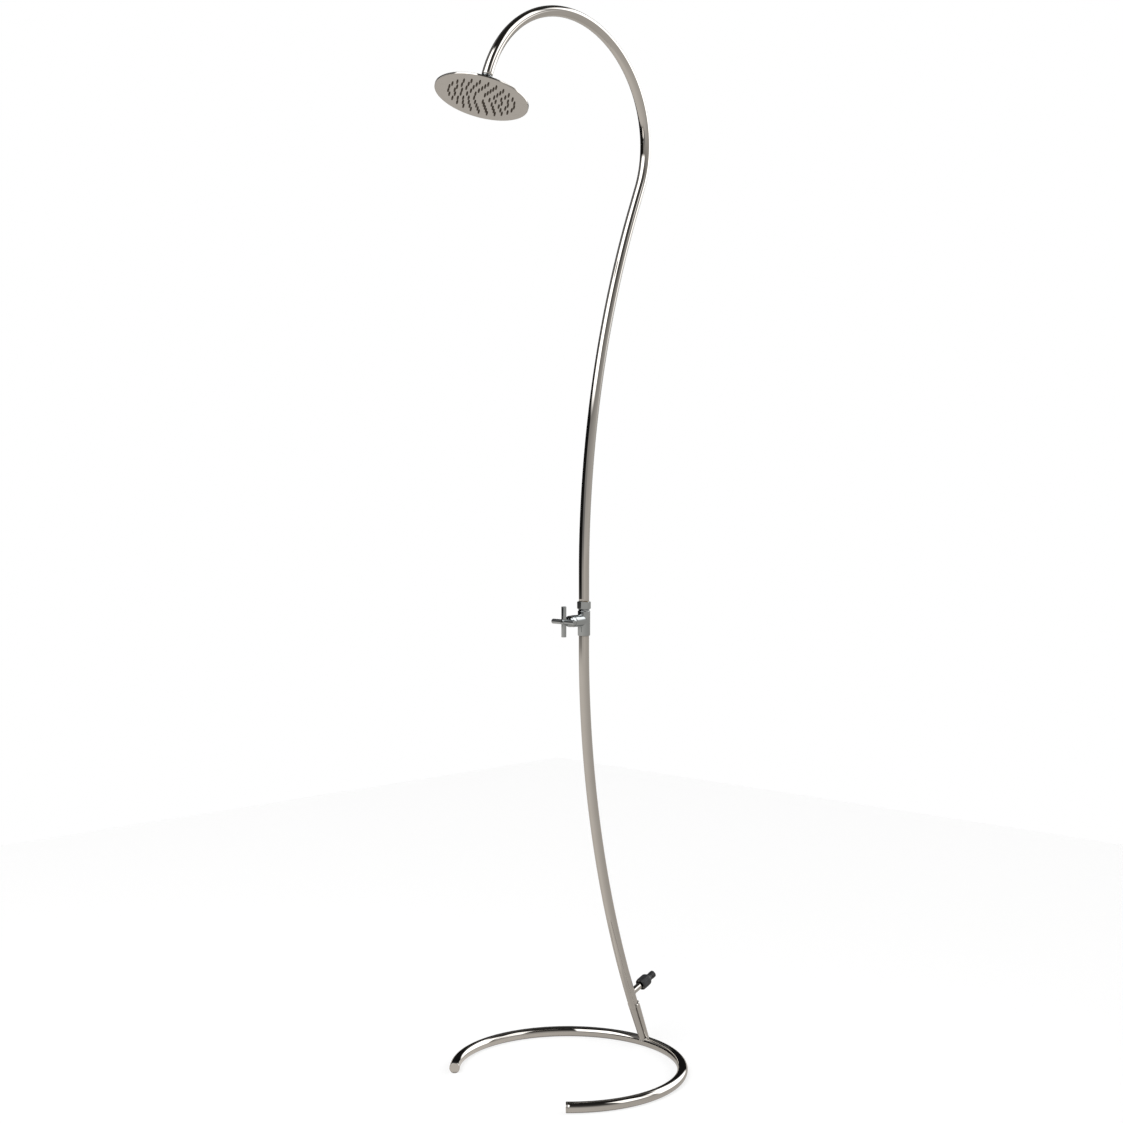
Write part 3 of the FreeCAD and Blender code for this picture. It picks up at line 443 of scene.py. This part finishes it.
# The finishes, by the record's slots. A grain is (millimetres across, detail) of a noise:
# "tint" carries the colour from one tone to the other, "shine" the roughness from its first
# end to its second, and "relief" raises the surface by a depth in millimetres.
finishLooks = {
    # drawn stainless tube, mop polished to a mirror: clear reflections with a soft waviness
    # left by the drawing, and faint cloudy patches where fingers and water dried
    "polished_steel": {
        "name": "polishedSteelTube", "metallic": 1.0,
        "tint": (38.0, 3.0), "tones": ("#CFCBC6", "#C9C5BF"),
        "shine": (38.0, 3.0), "haze": (6.0, 4.0), "shineSpan": (0.18, 0.38),
        "roughness": (0.008, 0.04), "relief": (45.0, 1.0), "depth": 0.02,
        # painted shade in narrow gaps and at joins: its reach in millimetres and the darkest share
        # of the colour
        "paintedShadeReach": 5.0, "paintedShadeTone": 0.06,
    },
    # pressed stainless sheet, finely polished: a slightly softer mirror than the tube
    "head_steel": {
        "name": "polishedSteelSheet", "metallic": 1.0,
        "tint": (22.0, 3.0), "tones": ("#C9C5C0", "#C2BEB8"),
        "shine": (22.0, 3.0), "roughness": (0.05, 0.12), "relief": (18.0, 1.0), "depth": 0.01,
    },
    # cast brass, ground and chrome plated: a cooler, darker mirror with the slight waves of
    # hand grinding
    "chromed_brass": {
        "name": "chromedBrassCasting", "metallic": 1.0,
        "tint": (9.0, 2.0), "tones": ("#B2B6B7", "#ABAFB0"),
        "shine": (9.0, 2.0), "roughness": (0.015, 0.05), "relief": (9.0, 2.0), "depth": 0.004,
        # painted shade in narrow gaps and at joins: its reach in millimetres and the darkest share
        # of the colour
        "paintedShadeReach": 3.0, "paintedShadeTone": 0.12,
    },
    # turned brass bar, bare: yellow, with fine turning lines just under a millimetre apart
    "bare_brass": {
        "name": "machinedBrass", "metallic": 1.0,
        "tint": (7.0, 2.0), "tones": ("#CDAA5E", "#B9934A"),
        "shine": (0.8, 1.0), "roughness": (0.2, 0.36), "relief": (0.8, 1.0), "depth": 0.01,
    },
    # injection-moulded acetal copolymer, dyed black: dark grey to the eye, softly shining,
    # with the fine spark-eroded grain of the mould, drawn at 0.5 mm so that it shows
    "black_plastic": {
        "name": "mouldedBlackPlastic", "metallic": 0.0, "specular": 0.55,
        "tint": (5.0, 3.0), "tones": ("#262729", "#323336"),
        "shine": (0.5, 2.0), "roughness": (0.34, 0.52), "relief": (0.5, 2.0), "depth": 0.02,
    },
    # moulded natural acetal: milky white and waxy
    "white_acetal": {
        "name": "mouldedWhiteAcetal", "metallic": 0.0,
        "tint": (9.0, 2.0), "tones": ("#E9E6DE", "#DFDBCF"),
        "shine": (1.2, 2.0), "roughness": (0.3, 0.42),
    },
    # pressed nitrile rubber, lightly greased: near black with a dull sheen
    "black_rubber": {
        "name": "blackRubber", "metallic": 0.0,
        "tint": (4.0, 2.0), "tones": ("#1A1A1B", "#242425"),
        "shine": (0.6, 2.0), "roughness": (0.45, 0.65),
    },
    # moulded silicone rubber, brown-grey: matt, slightly dusty on its tips
    "grey_silicone": {
        "name": "greySilicone", "metallic": 0.0,
        "tint": (3.0, 2.0), "tones": ("#554D45", "#645B52"),
        "shine": (0.8, 2.0), "roughness": (0.5, 0.7),
    },
    # sintered alumina ceramic, lapped flat: cream white and evenly matt with a glassy glint
    "alumina": {
        "name": "lappedAlumina", "metallic": 0.0,
        "tint": (5.0, 2.0), "tones": ("#F2F0EA", "#E9E6DC"),
        "shine": (0.5, 2.0), "roughness": (0.18, 0.32),
    },
    # cold-headed stainless screw: grey and satin, with short tool marks
    "screw_steel": {
        "name": "rolledScrewSteel", "metallic": 1.0,
        "tint": (3.0, 2.0), "tones": ("#ADADAB", "#9C9C9A"),
        "shine": (0.7, 2.0), "roughness": (0.22, 0.4),
    },
}
plainFinish = {
    "specular": 0.5,
    "noiseRoughness": 0.55,
    "shineSpan": (0.35, 0.65),      # the part of the noise that spans the roughness
    "paintedShadeSpan": (0.35, 0.9),         # how open a gap is, from the darkest painted shade to none
    "paintedShadeSamples": 6,
}


# a finish from its look; haze breaks up the shine, and a gap narrower than the shade reach is
# darkened to the shade tone of its colour: painted shade, standing in for the shade that falls in
# narrow gaps and where parts meet
def makeFinish(ownLook):
    look = {**plainFinish, **ownLook}
    material = bpy.data.materials.new(look["name"])
    material.use_nodes = True
    tree = material.node_tree
    tree.nodes.clear()
    place = addNode(tree, "ShaderNodeTexCoord").outputs["Object"]
    noise = {}
    for grain in (look[use] for use in ("tint", "shine", "haze", "relief") if use in look):
        if grain not in noise:
            noise[grain] = addNode(tree, "ShaderNodeTexNoise",
                                   {"Vector": place, "Scale": 1000 / grain[0], "Detail": grain[1],
                                    "Roughness": look["noiseRoughness"]}).outputs[0]

    first, second = (linear(tone) for tone in look["tones"])
    colour = addNode(tree, "ShaderNodeMix",
                     {"Factor": noise[look["tint"]], mixUnder: first, mixOver: second},
                     data_type="RGBA").outputs[mixResult]
    # painted shade: ambient occlusion darkens the colour in narrow gaps and where parts meet
    if "paintedShadeTone" in look:
        near = addNode(tree, "ShaderNodeAmbientOcclusion",
                       {"Distance": look["paintedShadeReach"] * toMetres},
                       samples=look["paintedShadeSamples"]).outputs["AO"]
        shade = addNode(tree, "ShaderNodeMapRange",
                        {"Value": near, "From Min": look["paintedShadeSpan"][0],
                         "From Max": look["paintedShadeSpan"][1], "To Min": look["paintedShadeTone"],
                         "To Max": 1.0}).outputs[0]
        colour = addNode(tree, "ShaderNodeMix",
                         {"Factor": 1.0, mixUnder: colour, mixOver: shade}, data_type="RGBA",
                         blend_type="MULTIPLY").outputs[mixResult]

    shine = noise[look["shine"]]
    if "haze" in look:
        shine = addNode(tree, "ShaderNodeMath", {0: shine, 1: noise[look["haze"]]},
                        operation="MULTIPLY").outputs[0]
    rough = addNode(tree, "ShaderNodeMapRange",
                    {"Value": shine, "From Min": look["shineSpan"][0],
                     "From Max": look["shineSpan"][1], "To Min": look["roughness"][0],
                     "To Max": look["roughness"][1]}).outputs[0]
    shader = addNode(tree, "ShaderNodeBsdfPrincipled",
                     {"Base Color": colour, "Metallic": look["metallic"], "Roughness": rough,
                      "Specular IOR Level": look["specular"]})
    if "relief" in look:
        bump = addNode(tree, "ShaderNodeBump", {"Height": noise[look["relief"]], "Strength": 1.0,
                                                "Distance": look["depth"] * toMetres})
        tree.links.new(bump.outputs[0], shader.inputs["Normal"])
    addNode(tree, "ShaderNodeOutputMaterial", {"Surface": shader.outputs[0]})
    return material


finishes = {slot: makeFinish(look) for slot, look in finishLooks.items()}
print("materials ready")


# every node keeps its shape and gets the finish of its slot in the record
def dressNodes():
    for part in frame["record"]["subparts"]:
        piece = frame["nodes"][part["node"]]
        finish = finishes[part["material_slot"]]
        if piece.material_slots:
            for slot in piece.material_slots:
                slot.material = finish
        else:
            piece.data.materials.append(finish)


dressNodes()
print("CAD nodes dressed")

ringTube = {"radius": 240.0, "tube": 11.0, "wall": 2.0, "halfAngle": 136.0, "bevel": 0.4,
            "steps": 240}


# the open ring: a tube on the circle (R cos a, R sin a, r)
def addRing(shape):
    size = SimpleNamespace(**shape)
    angle = np.radians(np.linspace(-size.halfAngle, size.halfAngle, size.steps + 1))
    flat = np.stack([np.cos(angle), np.sin(angle), 0 * angle], -1)
    up = np.stack([0 * angle, 0 * angle, 1 + 0 * angle], -1)
    centres = size.radius * flat + size.tube * up
    mesh = tubeMesh(centres, up, flat, size.tube, size.tube - size.wall, size.bevel)
    addPiece("ringTube", mesh, "polished_steel", stands=["base_ring"])


column = {"tube": 11.0, "wall": 1.5, "bevel": 0.9}
# each run is its length and how far it turns; a bend's length is its radius times its turn
lowerRuns = {"start": (205.170, 95.504), "lean": -22.4,
             "runs": [(2107.6 * radians(22.4), 22.4), (35.6, 0.0)]}
upperRuns = {"start": (46.143, 992.947), "lean": 0.0,
             "runs": [(56.1, 0.0), (2060.0 * radians(22.09), 22.09), (57.0, 0.0),
                      (239.0 * radians(183.89), -183.89)]}


# a column tube: the line's lean gives the two directions that the circle is drawn in
def addColumn(name, line, node):
    spots, leans = runLine(line["start"], line["lean"], line["runs"])
    lean = np.radians(leans)
    centres = np.stack([spots[:, 0], 0 * lean, spots[:, 1]], -1)
    sides = np.stack([np.cos(lean), 0 * lean, -np.sin(lean)], -1)
    acrosses = np.stack([0 * lean, 1 + 0 * lean, 0 * lean], -1)
    mesh = tubeMesh(centres, sides, acrosses, column["tube"], column["tube"] - column["wall"],
                    column["bevel"])
    addPiece(name, mesh, "polished_steel", stands=[node])


addRing(ringTube)
addColumn("lowerTube", lowerRuns, "lower_column")
addColumn("upperTube", upperRuns, "upper_column")
print("tubes ready")

endPlug = {"tube": 11.0, "insert": 8.7, "depth": 6.0, "cap": 4.0, "edge": 0.7, "crown": 0.25,
           "crownShare": 0.3, "seam": 0.12, "middle": 0.8, "segments": 72}


# the closed ends of the ring: a cap with a soft edge, welded on and polished flush; it stands
# on the ring's end, along the circle's tangent
def addEndPlug(name, shape, side, node):
    size = SimpleNamespace(**shape)
    profile = rounded([(size.insert, -size.depth, 0), (size.insert, 0, fillet.tight),
                       (size.tube, 0, size.seam), (size.tube, size.cap - size.crown, size.edge),
                       (size.tube / 2, size.cap - size.crown * size.crownShare, 0),
                       (size.middle, size.cap, 0)])
    angle = radians(side * ringTube["halfAngle"])
    outward = np.array([cos(angle), sin(angle), 0])
    along = np.array([-sin(angle), cos(angle), 0]) * side
    place = np.eye(4)
    place[:3, 0], place[:3, 2] = outward, along
    place[:3, 1] = np.cross(along, outward)
    place[:3, 3] = outward * ringTube["radius"] + (0, 0, ringTube["tube"])
    addPiece(name, turnedMesh(profile, place, size.segments), "polished_steel", stands=[node])


addEndPlug("ringCapLeft", endPlug, 1, "ring_end_plug_left")
addEndPlug("ringCapRight", endPlug, -1, "ring_end_plug_right")

foot = {"point": (240.0, 11.0), "lean": -22.4, "ring": 11.0, "spigot": 9.3, "cradle": 11.7,
        "cradleHalf": 108.0, "cradleSoft": 10.0, "lowest": 4.4, "bead": 1.2, "ripple": 0.07,
        "waves": 46, "steps": 360}


# the weld round the foot: it follows the ring's tube, height = sqrt(ring^2 - x^2), and steps
# out round the cradle
def addFootWeld(shape):
    size = SimpleNamespace(**shape)
    turn = np.linspace(-pi, pi, size.steps, endpoint=False)
    past = (radians(size.cradleHalf) - np.abs(turn)) / radians(size.cradleSoft)
    back = np.clip(past + 0.5, 0, 1)
    reach = size.spigot + (size.cradle - size.spigot) * back * back * (3 - 2 * back)
    across = reach * np.cos(turn)
    height = np.sqrt(np.maximum(size.ring ** 2 - across ** 2, size.lowest ** 2))
    line = np.stack([across, reach * np.sin(turn), height], -1)
    mesh = beadMesh(line, leaned(size.point, size.lean), size.bead, size.ripple, size.waves)
    addPiece("footWeld", mesh, "polished_steel")


addFootWeld(foot)

inlet = {"point": (192.614, 126.669), "lean": 69.0, "stub": 7.3, "bore": 5.5, "start": 7.6,
         "end": 48.5, "segments": 72, "column": 11.0, "bead": 0.75, "beadOut": 0.25,
         "beadUp": 0.1, "ripple": 0.08, "waves": 30, "steps": 200}


# the stub, and its weld where a rod of its radius meets the column's surface, at
# sqrt(column^2 - y^2) from the column's middle
def addInlet(shape):
    size = SimpleNamespace(**shape)
    profile = rounded([(size.bore, size.start, 0), (size.stub, size.start, 0),
                       (size.stub, size.end, fillet.plain),
                       (size.bore, size.end, fillet.plain)], closed=True)
    place = leaned(size.point, size.lean)
    mesh = turnedMesh(profile, place, size.segments, closedLoop=True)
    addPiece("inletTube", mesh, "polished_steel", stands=["inlet_stub"])
    turn = np.linspace(0, 2 * pi, size.steps, endpoint=False)
    reach = size.stub + size.beadOut
    height = np.sqrt((size.column + size.beadUp) ** 2 - (reach * np.sin(turn)) ** 2)
    line = np.stack([reach * np.cos(turn), reach * np.sin(turn), height], -1)
    mesh = beadMesh(line, place, size.bead, size.ripple, size.waves)
    addPiece("inletWeld", mesh, "polished_steel")


addInlet(inlet)

connector = {
    "thread": 10.46, "floor": 51.0, "start": 34.5, "end": 58.5, "collar": 12.6, "edge": 1.3,
    "ribs": 12, "ribRadius": 2.4, "ribProud": 0.8, "ribInset": 1.5, "ribRound": 1.1,
    # rows of the mesh from a rib's end, closest where it rounds off
    "ribRows": (0.0, 0.03, 0.1, 0.2, 0.35, 0.55, 0.8, 1.1), "plainStart": 2.0, "plainRows": 8,
    "shoulder": 9.4, "noseStart": 62.5, "nose": 7.85, "noseEnd": 81.0, "bore": 5.0,
    "noseEdge": 1.1,
    "latchStart": 67.5, "latchEnd": 71.5, "latchDepth": 1.2, "latchEdge": 0.15,
    "sealStart": 74.3, "sealEnd": 76.8, "sealBottom": 5.85, "sealEdge": 0.12,
    "ring": 2.2, "ringProud": 0.2, "ringSteps": 32, "segments": 288,
}


# ribbed collar and nose in one moulding; a rib is part of a circle set in the collar, so at
# an angle d from its middle it reaches c cos d + sqrt(r^2 - (c sin d)^2)
def addConnector(shape):
    size = SimpleNamespace(**shape)
    first, last = size.start + size.ribInset, size.end - size.ribInset

    def ribs(angle, height, radius):
        step = 2 * pi / size.ribs
        offset = (angle + step / 2) % step - step / 2
        centre = size.collar + size.ribProud - size.ribRadius
        inside = np.maximum(size.ribRadius ** 2 - (centre * np.sin(offset)) ** 2, 0)
        proud = np.maximum(centre * np.cos(offset) + np.sqrt(inside) - size.collar, 0)
        fromEnd = np.clip(np.minimum(height - first, last - height) / size.ribRound, 0, 1)
        onCollar = radius > size.collar - nearly
        return proud * np.sqrt(1 - (1 - fromEnd) ** 2) * onCollar

    ends = np.array(size.ribRows)
    plain = np.linspace(first + size.plainStart, last - size.plainStart, size.plainRows)
    heights = np.concatenate([first + ends, plain, (last - ends)[::-1]])
    wall = np.stack([0 * heights + size.collar, heights, 0 * heights], -1)
    groove = size.nose - size.latchDepth
    profile = rounded(np.concatenate([
        [(size.thread, size.floor, 0), (size.thread, size.start, fillet.soft),
         (size.collar, size.start, size.edge)],
        wall,
        [(size.collar, size.end, size.edge), (size.shoulder, size.noseStart, fillet.soft),
         (size.nose, size.noseStart, fillet.plain), (size.nose, size.latchStart, size.latchEdge),
         (groove, size.latchStart, fillet.plain), (groove, size.latchEnd, fillet.plain),
         (size.nose, size.latchEnd, size.latchEdge), (size.nose, size.sealStart, size.sealEdge),
         (size.sealBottom, size.sealStart, fillet.fine),
         (size.sealBottom, size.sealEnd, fillet.fine),
         (size.nose, size.sealEnd, size.sealEdge), (size.nose, size.noseEnd, size.noseEdge),
         (size.bore, size.noseEnd, fillet.soft), (size.bore, size.floor, 0)]]), 4, closed=True)
    place = leaned(inlet["point"], inlet["lean"])
    mesh = turnedMesh(profile, place, size.segments, closedLoop=True, bump=ribs)
    addPiece("hoseNipple", mesh, "black_plastic", stands=["hose_connector"])
    thick = size.ring / 2
    middle = (size.nose + size.ringProud - thick, (size.sealStart + size.sealEnd) / 2)
    seal = arcLine(middle, thick, 0, 360 - 360 / size.ringSteps, size.ringSteps)
    addPiece("nippleSeal", turnedMesh(seal, place, closedLoop=True), "black_rubber",
             stands=["connector_o_ring"])


addConnector(connector)
print("foot and inlet ready")

valve = {
    "crossing": (46.143, 952.547), "radius": 13.15, "below": 32.3, "above": 20.0, "lowEdge": 1.6,
    "topEdge": 0.6, "neck": 11.6, "neckEnd": 23.7, "thread": 11.0, "threadEnd": 33.7,
    "threadEdge": 0.5, "socket": 11.05, "socketFloor": 18.3, "outlet": 7.0, "outletFloor": 6.5,
    "segments": 144,
    "branch": 12.5, "branchEnd": 34.0, "branchFront": 3.0, "branchEdge": 0.35, "bore": 8.8,
    "boreDepth": 18.0, "blend": 1.7, "blendRows": 9, "blendSunk": 0.5, "bodyShare": 0.996,
    "branchSegments": 192,
}


def addValve(shape):
    size = SimpleNamespace(**shape)
    profile = rounded([(size.socket, -size.socketFloor, 0),
                       (size.socket, -size.below, fillet.plain),
                       (size.radius, -size.below, size.lowEdge),
                       (size.radius, size.above, size.topEdge),
                       (size.neck, size.above, fillet.plain),
                       (size.neck, size.neckEnd, fillet.fine),
                       (size.thread, size.neckEnd, fillet.tight),
                       (size.thread, size.threadEnd, size.threadEdge),
                       (size.outlet, size.threadEnd, fillet.plain),
                       (size.outlet, size.outletFloor, 0)], 6)
    mesh = turnedMesh(profile, leaned(size.crossing, 0), size.segments)
    addPiece("valveCasting", mesh, "chromed_brass", stands=["valve_body"])

    # the branch leaves the body in a small blend: a parabola from the body's surface, at
    # sqrt(R^2 - y^2), to the branch's wall, with the corner between them as its pull; the
    # blend narrows at the sides, where the body ends
    turn = np.linspace(0, 2 * pi, size.branchSegments, endpoint=False)
    side = np.abs(np.sin(turn))
    room = size.radius * size.bodyShare / np.maximum(side, nearly) - size.branch
    outer = size.branch + np.minimum(size.blend, room)

    def surface(reach):
        return np.sqrt(size.radius ** 2 - (reach * side) ** 2)

    rows = [(outer, surface(outer) - size.blendSunk)]
    for way in np.linspace(0, 1, size.blendRows):
        near, pull, far = (1 - way) ** 2, 2 * way * (1 - way), way ** 2
        rows.append((near * outer + (pull + far) * size.branch,
                     near * surface(outer) + pull * surface(size.branch)
                     + far * (surface(size.branch) + size.blend)))
    mouth = rounded([(size.branch, size.branchEnd - size.branchFront, 0),
                     (size.branch, size.branchEnd, size.branchEdge),
                     (size.bore, size.branchEnd, fillet.fine),
                     (size.bore, size.branchEnd - size.boreDepth, 0)])
    rows += [(reach + 0 * turn, height + 0 * turn) for reach, height in mouth]
    reach, height = (np.array(values) for values in zip(*rows))
    points = np.stack([reach * np.cos(turn), reach * np.sin(turn), height], -1)
    mesh = gridMesh(placed(points, leaned(size.crossing, -90)), closeEnds=True)
    addPiece("valveBranch", mesh, "chromed_brass", sharp=50)


addValve(valve)

nut = {
    "flat": 12.6, "clock": -11.0, "start": 23.9, "end": 40.1, "thread": 11.06, "lip": 38.3,
    "hole": 9.6, "cornerPower": 110.0, "chamfer": 30.0, "chamferInset": 0.1,
    "chamferPower": 60.0, "segments": 288,
    # rows of the mesh from each end, closest on the chamfer
    "rows": (0.0, 0.08, 0.2, 0.35, 0.5, 0.65, 0.8, 0.95, 1.1, 1.25, 1.45, 1.8),
}


# hexagon in polar form: flat / cos of the angle to the nearest facet's middle, as a power sum
# that rounds the corners; a cone of that chamfer angle takes the corners off at both ends
def addNut(shape):
    size = SimpleNamespace(**shape)

    def hexagon(angle, height, radius):
        middles = np.radians(size.clock + 60 * np.arange(6))[:, None]
        near = np.maximum(np.cos(angle - middles), 0.0)
        reach = size.flat * (near ** size.cornerPower).sum(0) ** (-1 / size.cornerPower)
        fromEnd = np.minimum(height - size.start, size.end - height)
        cone = size.flat - size.chamferInset + fromEnd / np.tan(radians(size.chamfer))
        power = size.chamferPower
        both = (reach ** -power + cone ** -power) ** (-1 / power)
        onFlats = radius > size.flat - nearly
        return (both - radius) * onFlats

    ends = np.array(size.rows)
    heights = np.concatenate([size.start + ends, (size.end - ends)[::-1]])
    wall = np.stack([0 * heights + size.flat, heights], -1)
    profile = np.concatenate([[(size.thread, size.start)], wall,
                              [(size.hole, size.end), (size.hole, size.lip),
                               (size.thread, size.lip)]])
    mesh = turnedMesh(profile, leaned(valve["crossing"], 0), size.segments, closedLoop=True,
                      bump=hexagon)
    addPiece("unionHexNut", mesh, "chromed_brass", stands=["union_nut"], sharp=20)


addNut(nut)

shroud = {"start": 34.0, "backEdge": 0.35, "radius": 12.0, "taperStart": 41.4,
          "middle": (11.2, 46.9), "front": 8.6, "end": 52.4, "frontEdge": 0.25, "taperRows": 17,
          "hole": 5.0, "bore": 9.7, "boreDepth": 4.4, "roof": 50.2, "thread": 8.06, "segments": 144}


# the cover over the cartridge: a short cylinder that tapers in a shallow curve to its front
def addShroud(shape):
    size = SimpleNamespace(**shape)
    taper = through((size.radius, size.taperStart), size.middle, (size.front, size.end),
                    size.taperRows)
    taper[-1, 2] = size.frontEdge
    profile = rounded(np.concatenate([
        [(size.bore, size.start, 0), (size.radius, size.start, size.backEdge)],
        taper,
        [(size.hole, size.end, fillet.fine), (size.hole, size.roof, 0),
         (size.thread, size.roof, 0), (size.thread, size.start + size.boreDepth, 0),
         (size.bore, size.start + size.boreDepth, 0)]]), 4, closed=True)
    mesh = turnedMesh(profile, leaned(valve["crossing"], -90), size.segments, closedLoop=True)
    addPiece("valveShroud", mesh, "chromed_brass", stands=["bonnet_shroud"], sharp=26)


addShroud(shroud)

handle = {
    "reach": 60.3, "arm": 5.2, "half": 32.0, "armEdge": 0.8, "hub": 5.8, "hubStart": 53.2,
    "hubEnd": 65.7, "hubEdge": 0.7, "spindle": 4.05, "spindleEnd": 60.1, "recess": 4.45,
    "recessFloor": 63.9, "cap": 4.4, "capTop": 66.2, "capBevel": 1.0, "capEdge": 0.35,
    "capGap": 0.1, "capLip": 0.05, "capCrown": 0.04, "middle": 0.6,
}


# two polished bars cross in a short hub; a small bevelled cap hides the screw
def addHandle(shape):
    size = SimpleNamespace(**shape)
    crossing = (valve["crossing"][0] - size.reach, valve["crossing"][1])
    bar = rounded([(size.middle, -size.half, 0), (size.arm, -size.half, size.armEdge),
                   (size.arm, size.half, size.armEdge), (size.middle, size.half, 0)], 6)
    upright = leaned(crossing, 0)
    level = upright @ np.array(Matrix.Rotation(radians(-90), 4, "X"))
    addPiece("handleBarUpright", turnedMesh(bar, upright), "chromed_brass", "handle",
             stands=["cross_handle"])
    addPiece("handleBarLevel", turnedMesh(bar, level), "chromed_brass", "handle")
    hub = rounded([(size.spindle, size.spindleEnd, 0), (size.spindle, size.hubStart, fillet.fine),
                   (size.hub, size.hubStart, size.hubEdge), (size.hub, size.hubEnd, size.hubEdge),
                   (size.recess, size.hubEnd, fillet.tight), (size.recess, size.recessFloor, 0)])
    axis = leaned(valve["crossing"], -90)
    addPiece("handleHub", turnedMesh(hub, axis), "chromed_brass", "handle")
    cap = rounded([(size.cap, size.recessFloor + size.capGap, 0),
                   (size.cap, size.hubEnd + size.capLip, fillet.tight),
                   (size.cap - size.capBevel, size.capTop, size.capEdge),
                   (size.middle, size.capTop + size.capCrown, 0)])
    addPiece("handleCap", turnedMesh(cap, axis), "chromed_brass", "handle",
             stands=["handle_cap"])


addHandle(handle)
print("valve and handle ready")

head = {
    "face": (-244.697, 1995.480), "lean": 18.2, "radius": 94.5, "rim": 4.0, "rimEdge": 0.9,
    "inner": 93.3, "innerEdge": 0.15, "faceSheet": 1.0, "matBore": 91.0, "matTop": 2.6,
    "domeInset": 2.2, "domeRise": 0.14, "domeMiddle": (62.25, 6.9), "shoulder": (30.0, 8.4),
    "shoulderRound": 7.0, "flareMiddle": (19.6, 9.6), "boss": 16.4, "bossStart": 12.5,
    "bossEnd": 19.6, "bossThread": 15.0, "ball": 26.0, "cup": 10.6, "throat": 4.5,
    "throatRise": 0.5, "wall": 1.2, "cavityInset": 3.0, "cavityEdge": 88.0, "cavityRise": 0.4,
    "domeRows": 33, "flareRows": 17, "cupRows": 13, "cavityRows": 13, "segments": 256,
}


# pressed disc with its rolled rim, the dome, the flare up to the boss and, inside, the cup
# for the ball and the water space
def addHead(shape):
    size = SimpleNamespace(**shape)
    dome = through((size.radius - size.domeInset, size.rim + size.domeRise), size.domeMiddle,
                   size.shoulder, size.domeRows)
    dome[-1, 2] = size.shoulderRound
    flare = through(size.shoulder, size.flareMiddle, (size.boss, size.bossStart),
                    size.flareRows)[1:]
    low = -np.degrees(np.arccos(size.throat / size.cup))
    cup = arcLine((0, size.ball), size.cup, 0, low, size.cupRows)
    shoulder, shoulderHeight = size.shoulder
    middle, middleHeight = size.domeMiddle
    cavity = through((shoulder - size.wall, shoulderHeight - size.wall),
                     (middle - size.cavityInset, middleHeight - size.wall),
                     (size.cavityEdge, size.matTop + size.cavityRise), size.cavityRows)
    profile = rounded(np.concatenate([
        [(size.inner, 0, size.innerEdge), (size.radius, 0, fillet.plain),
         (size.radius, size.rim, size.rimEdge)],
        dome, flare,
        [(size.boss, size.bossEnd, fillet.plain), (size.bossThread, size.bossEnd, 0),
         (size.bossThread, size.ball, 0)],
        cup, [(size.throat, shoulderHeight - size.throatRise, 0)], cavity,
        [(size.cavityEdge, size.matTop, 0), (size.matBore, size.matTop, 0),
         (size.matBore, size.faceSheet, 0), (size.inner, size.faceSheet, 0)]]), closed=True)
    mesh = turnedMesh(profile, leaned(size.face, size.lean), size.segments, closedLoop=True)
    addPiece("headDisc", mesh, "head_steel", "head", ["head_shell"], sharp=24)


addHead(head)

joint = {
    "nut": 17.0, "nutStart": 20.0, "nutEnd": 41.0, "nutEdge": 0.9, "nutThread": 15.06,
    "nutSegments": 144, "mouth": 11.2, "lip": 8.3, "ball": 9.0, "neck": 5.5, "neckRound": 1.0,
    "bore": 3.5, "flange": 10.4, "flangeStart": 45.2, "flangeEnd": 47.0, "thread": 8.33,
    "end": 60.0, "recess": 6.0, "recessFloor": 56.0, "cupStop": 1.0, "cupRows": 9,
    "ballRows": 25, "threadAbove": 0.1,
}


# the nut that holds the ball in its cup, and the ball with its flanged stem
def addBallJoint(shape):
    size = SimpleNamespace(**shape)
    cup, centre = head["cup"], head["ball"]
    opening = np.degrees(np.arccos(size.lip / cup))
    profile = rounded(np.concatenate([
        [(size.nutThread, size.nutStart, fillet.tight), (size.nut, size.nutStart, fillet.plain),
         (size.nut, size.nutEnd, size.nutEdge), (size.mouth, size.nutEnd, fillet.soft)],
        arcLine((0, centre), cup, opening, size.cupStop, size.cupRows),
        [(size.nutThread, centre + size.threadAbove, 0)]]), closed=True)
    place = leaned(head["face"], head["lean"])
    addPiece("ballNut", turnedMesh(profile, place, size.nutSegments, closedLoop=True),
             "chromed_brass", "head", ["ball_nut"])
    low = -np.degrees(np.arccos(size.bore / size.ball))
    high = np.degrees(np.arccos(size.neck / size.ball))
    profile = rounded(np.concatenate([
        arcLine((0, centre), size.ball, low, high, size.ballRows),
        [(size.neck, size.flangeStart, size.neckRound),
         (size.flange, size.flangeStart, fillet.soft), (size.flange, size.flangeEnd, fillet.soft),
         (size.thread, size.flangeEnd, fillet.tight), (size.thread, size.end, fillet.soft),
         (size.recess, size.end, fillet.fine), (size.recess, size.recessFloor, 0),
         (size.bore, size.recessFloor, 0)]]), closed=True)
    addPiece("ballStem", turnedMesh(profile, place, closedLoop=True), "chromed_brass",
             stands=["ball_stem"])


addBallJoint(joint)
print("head ready")
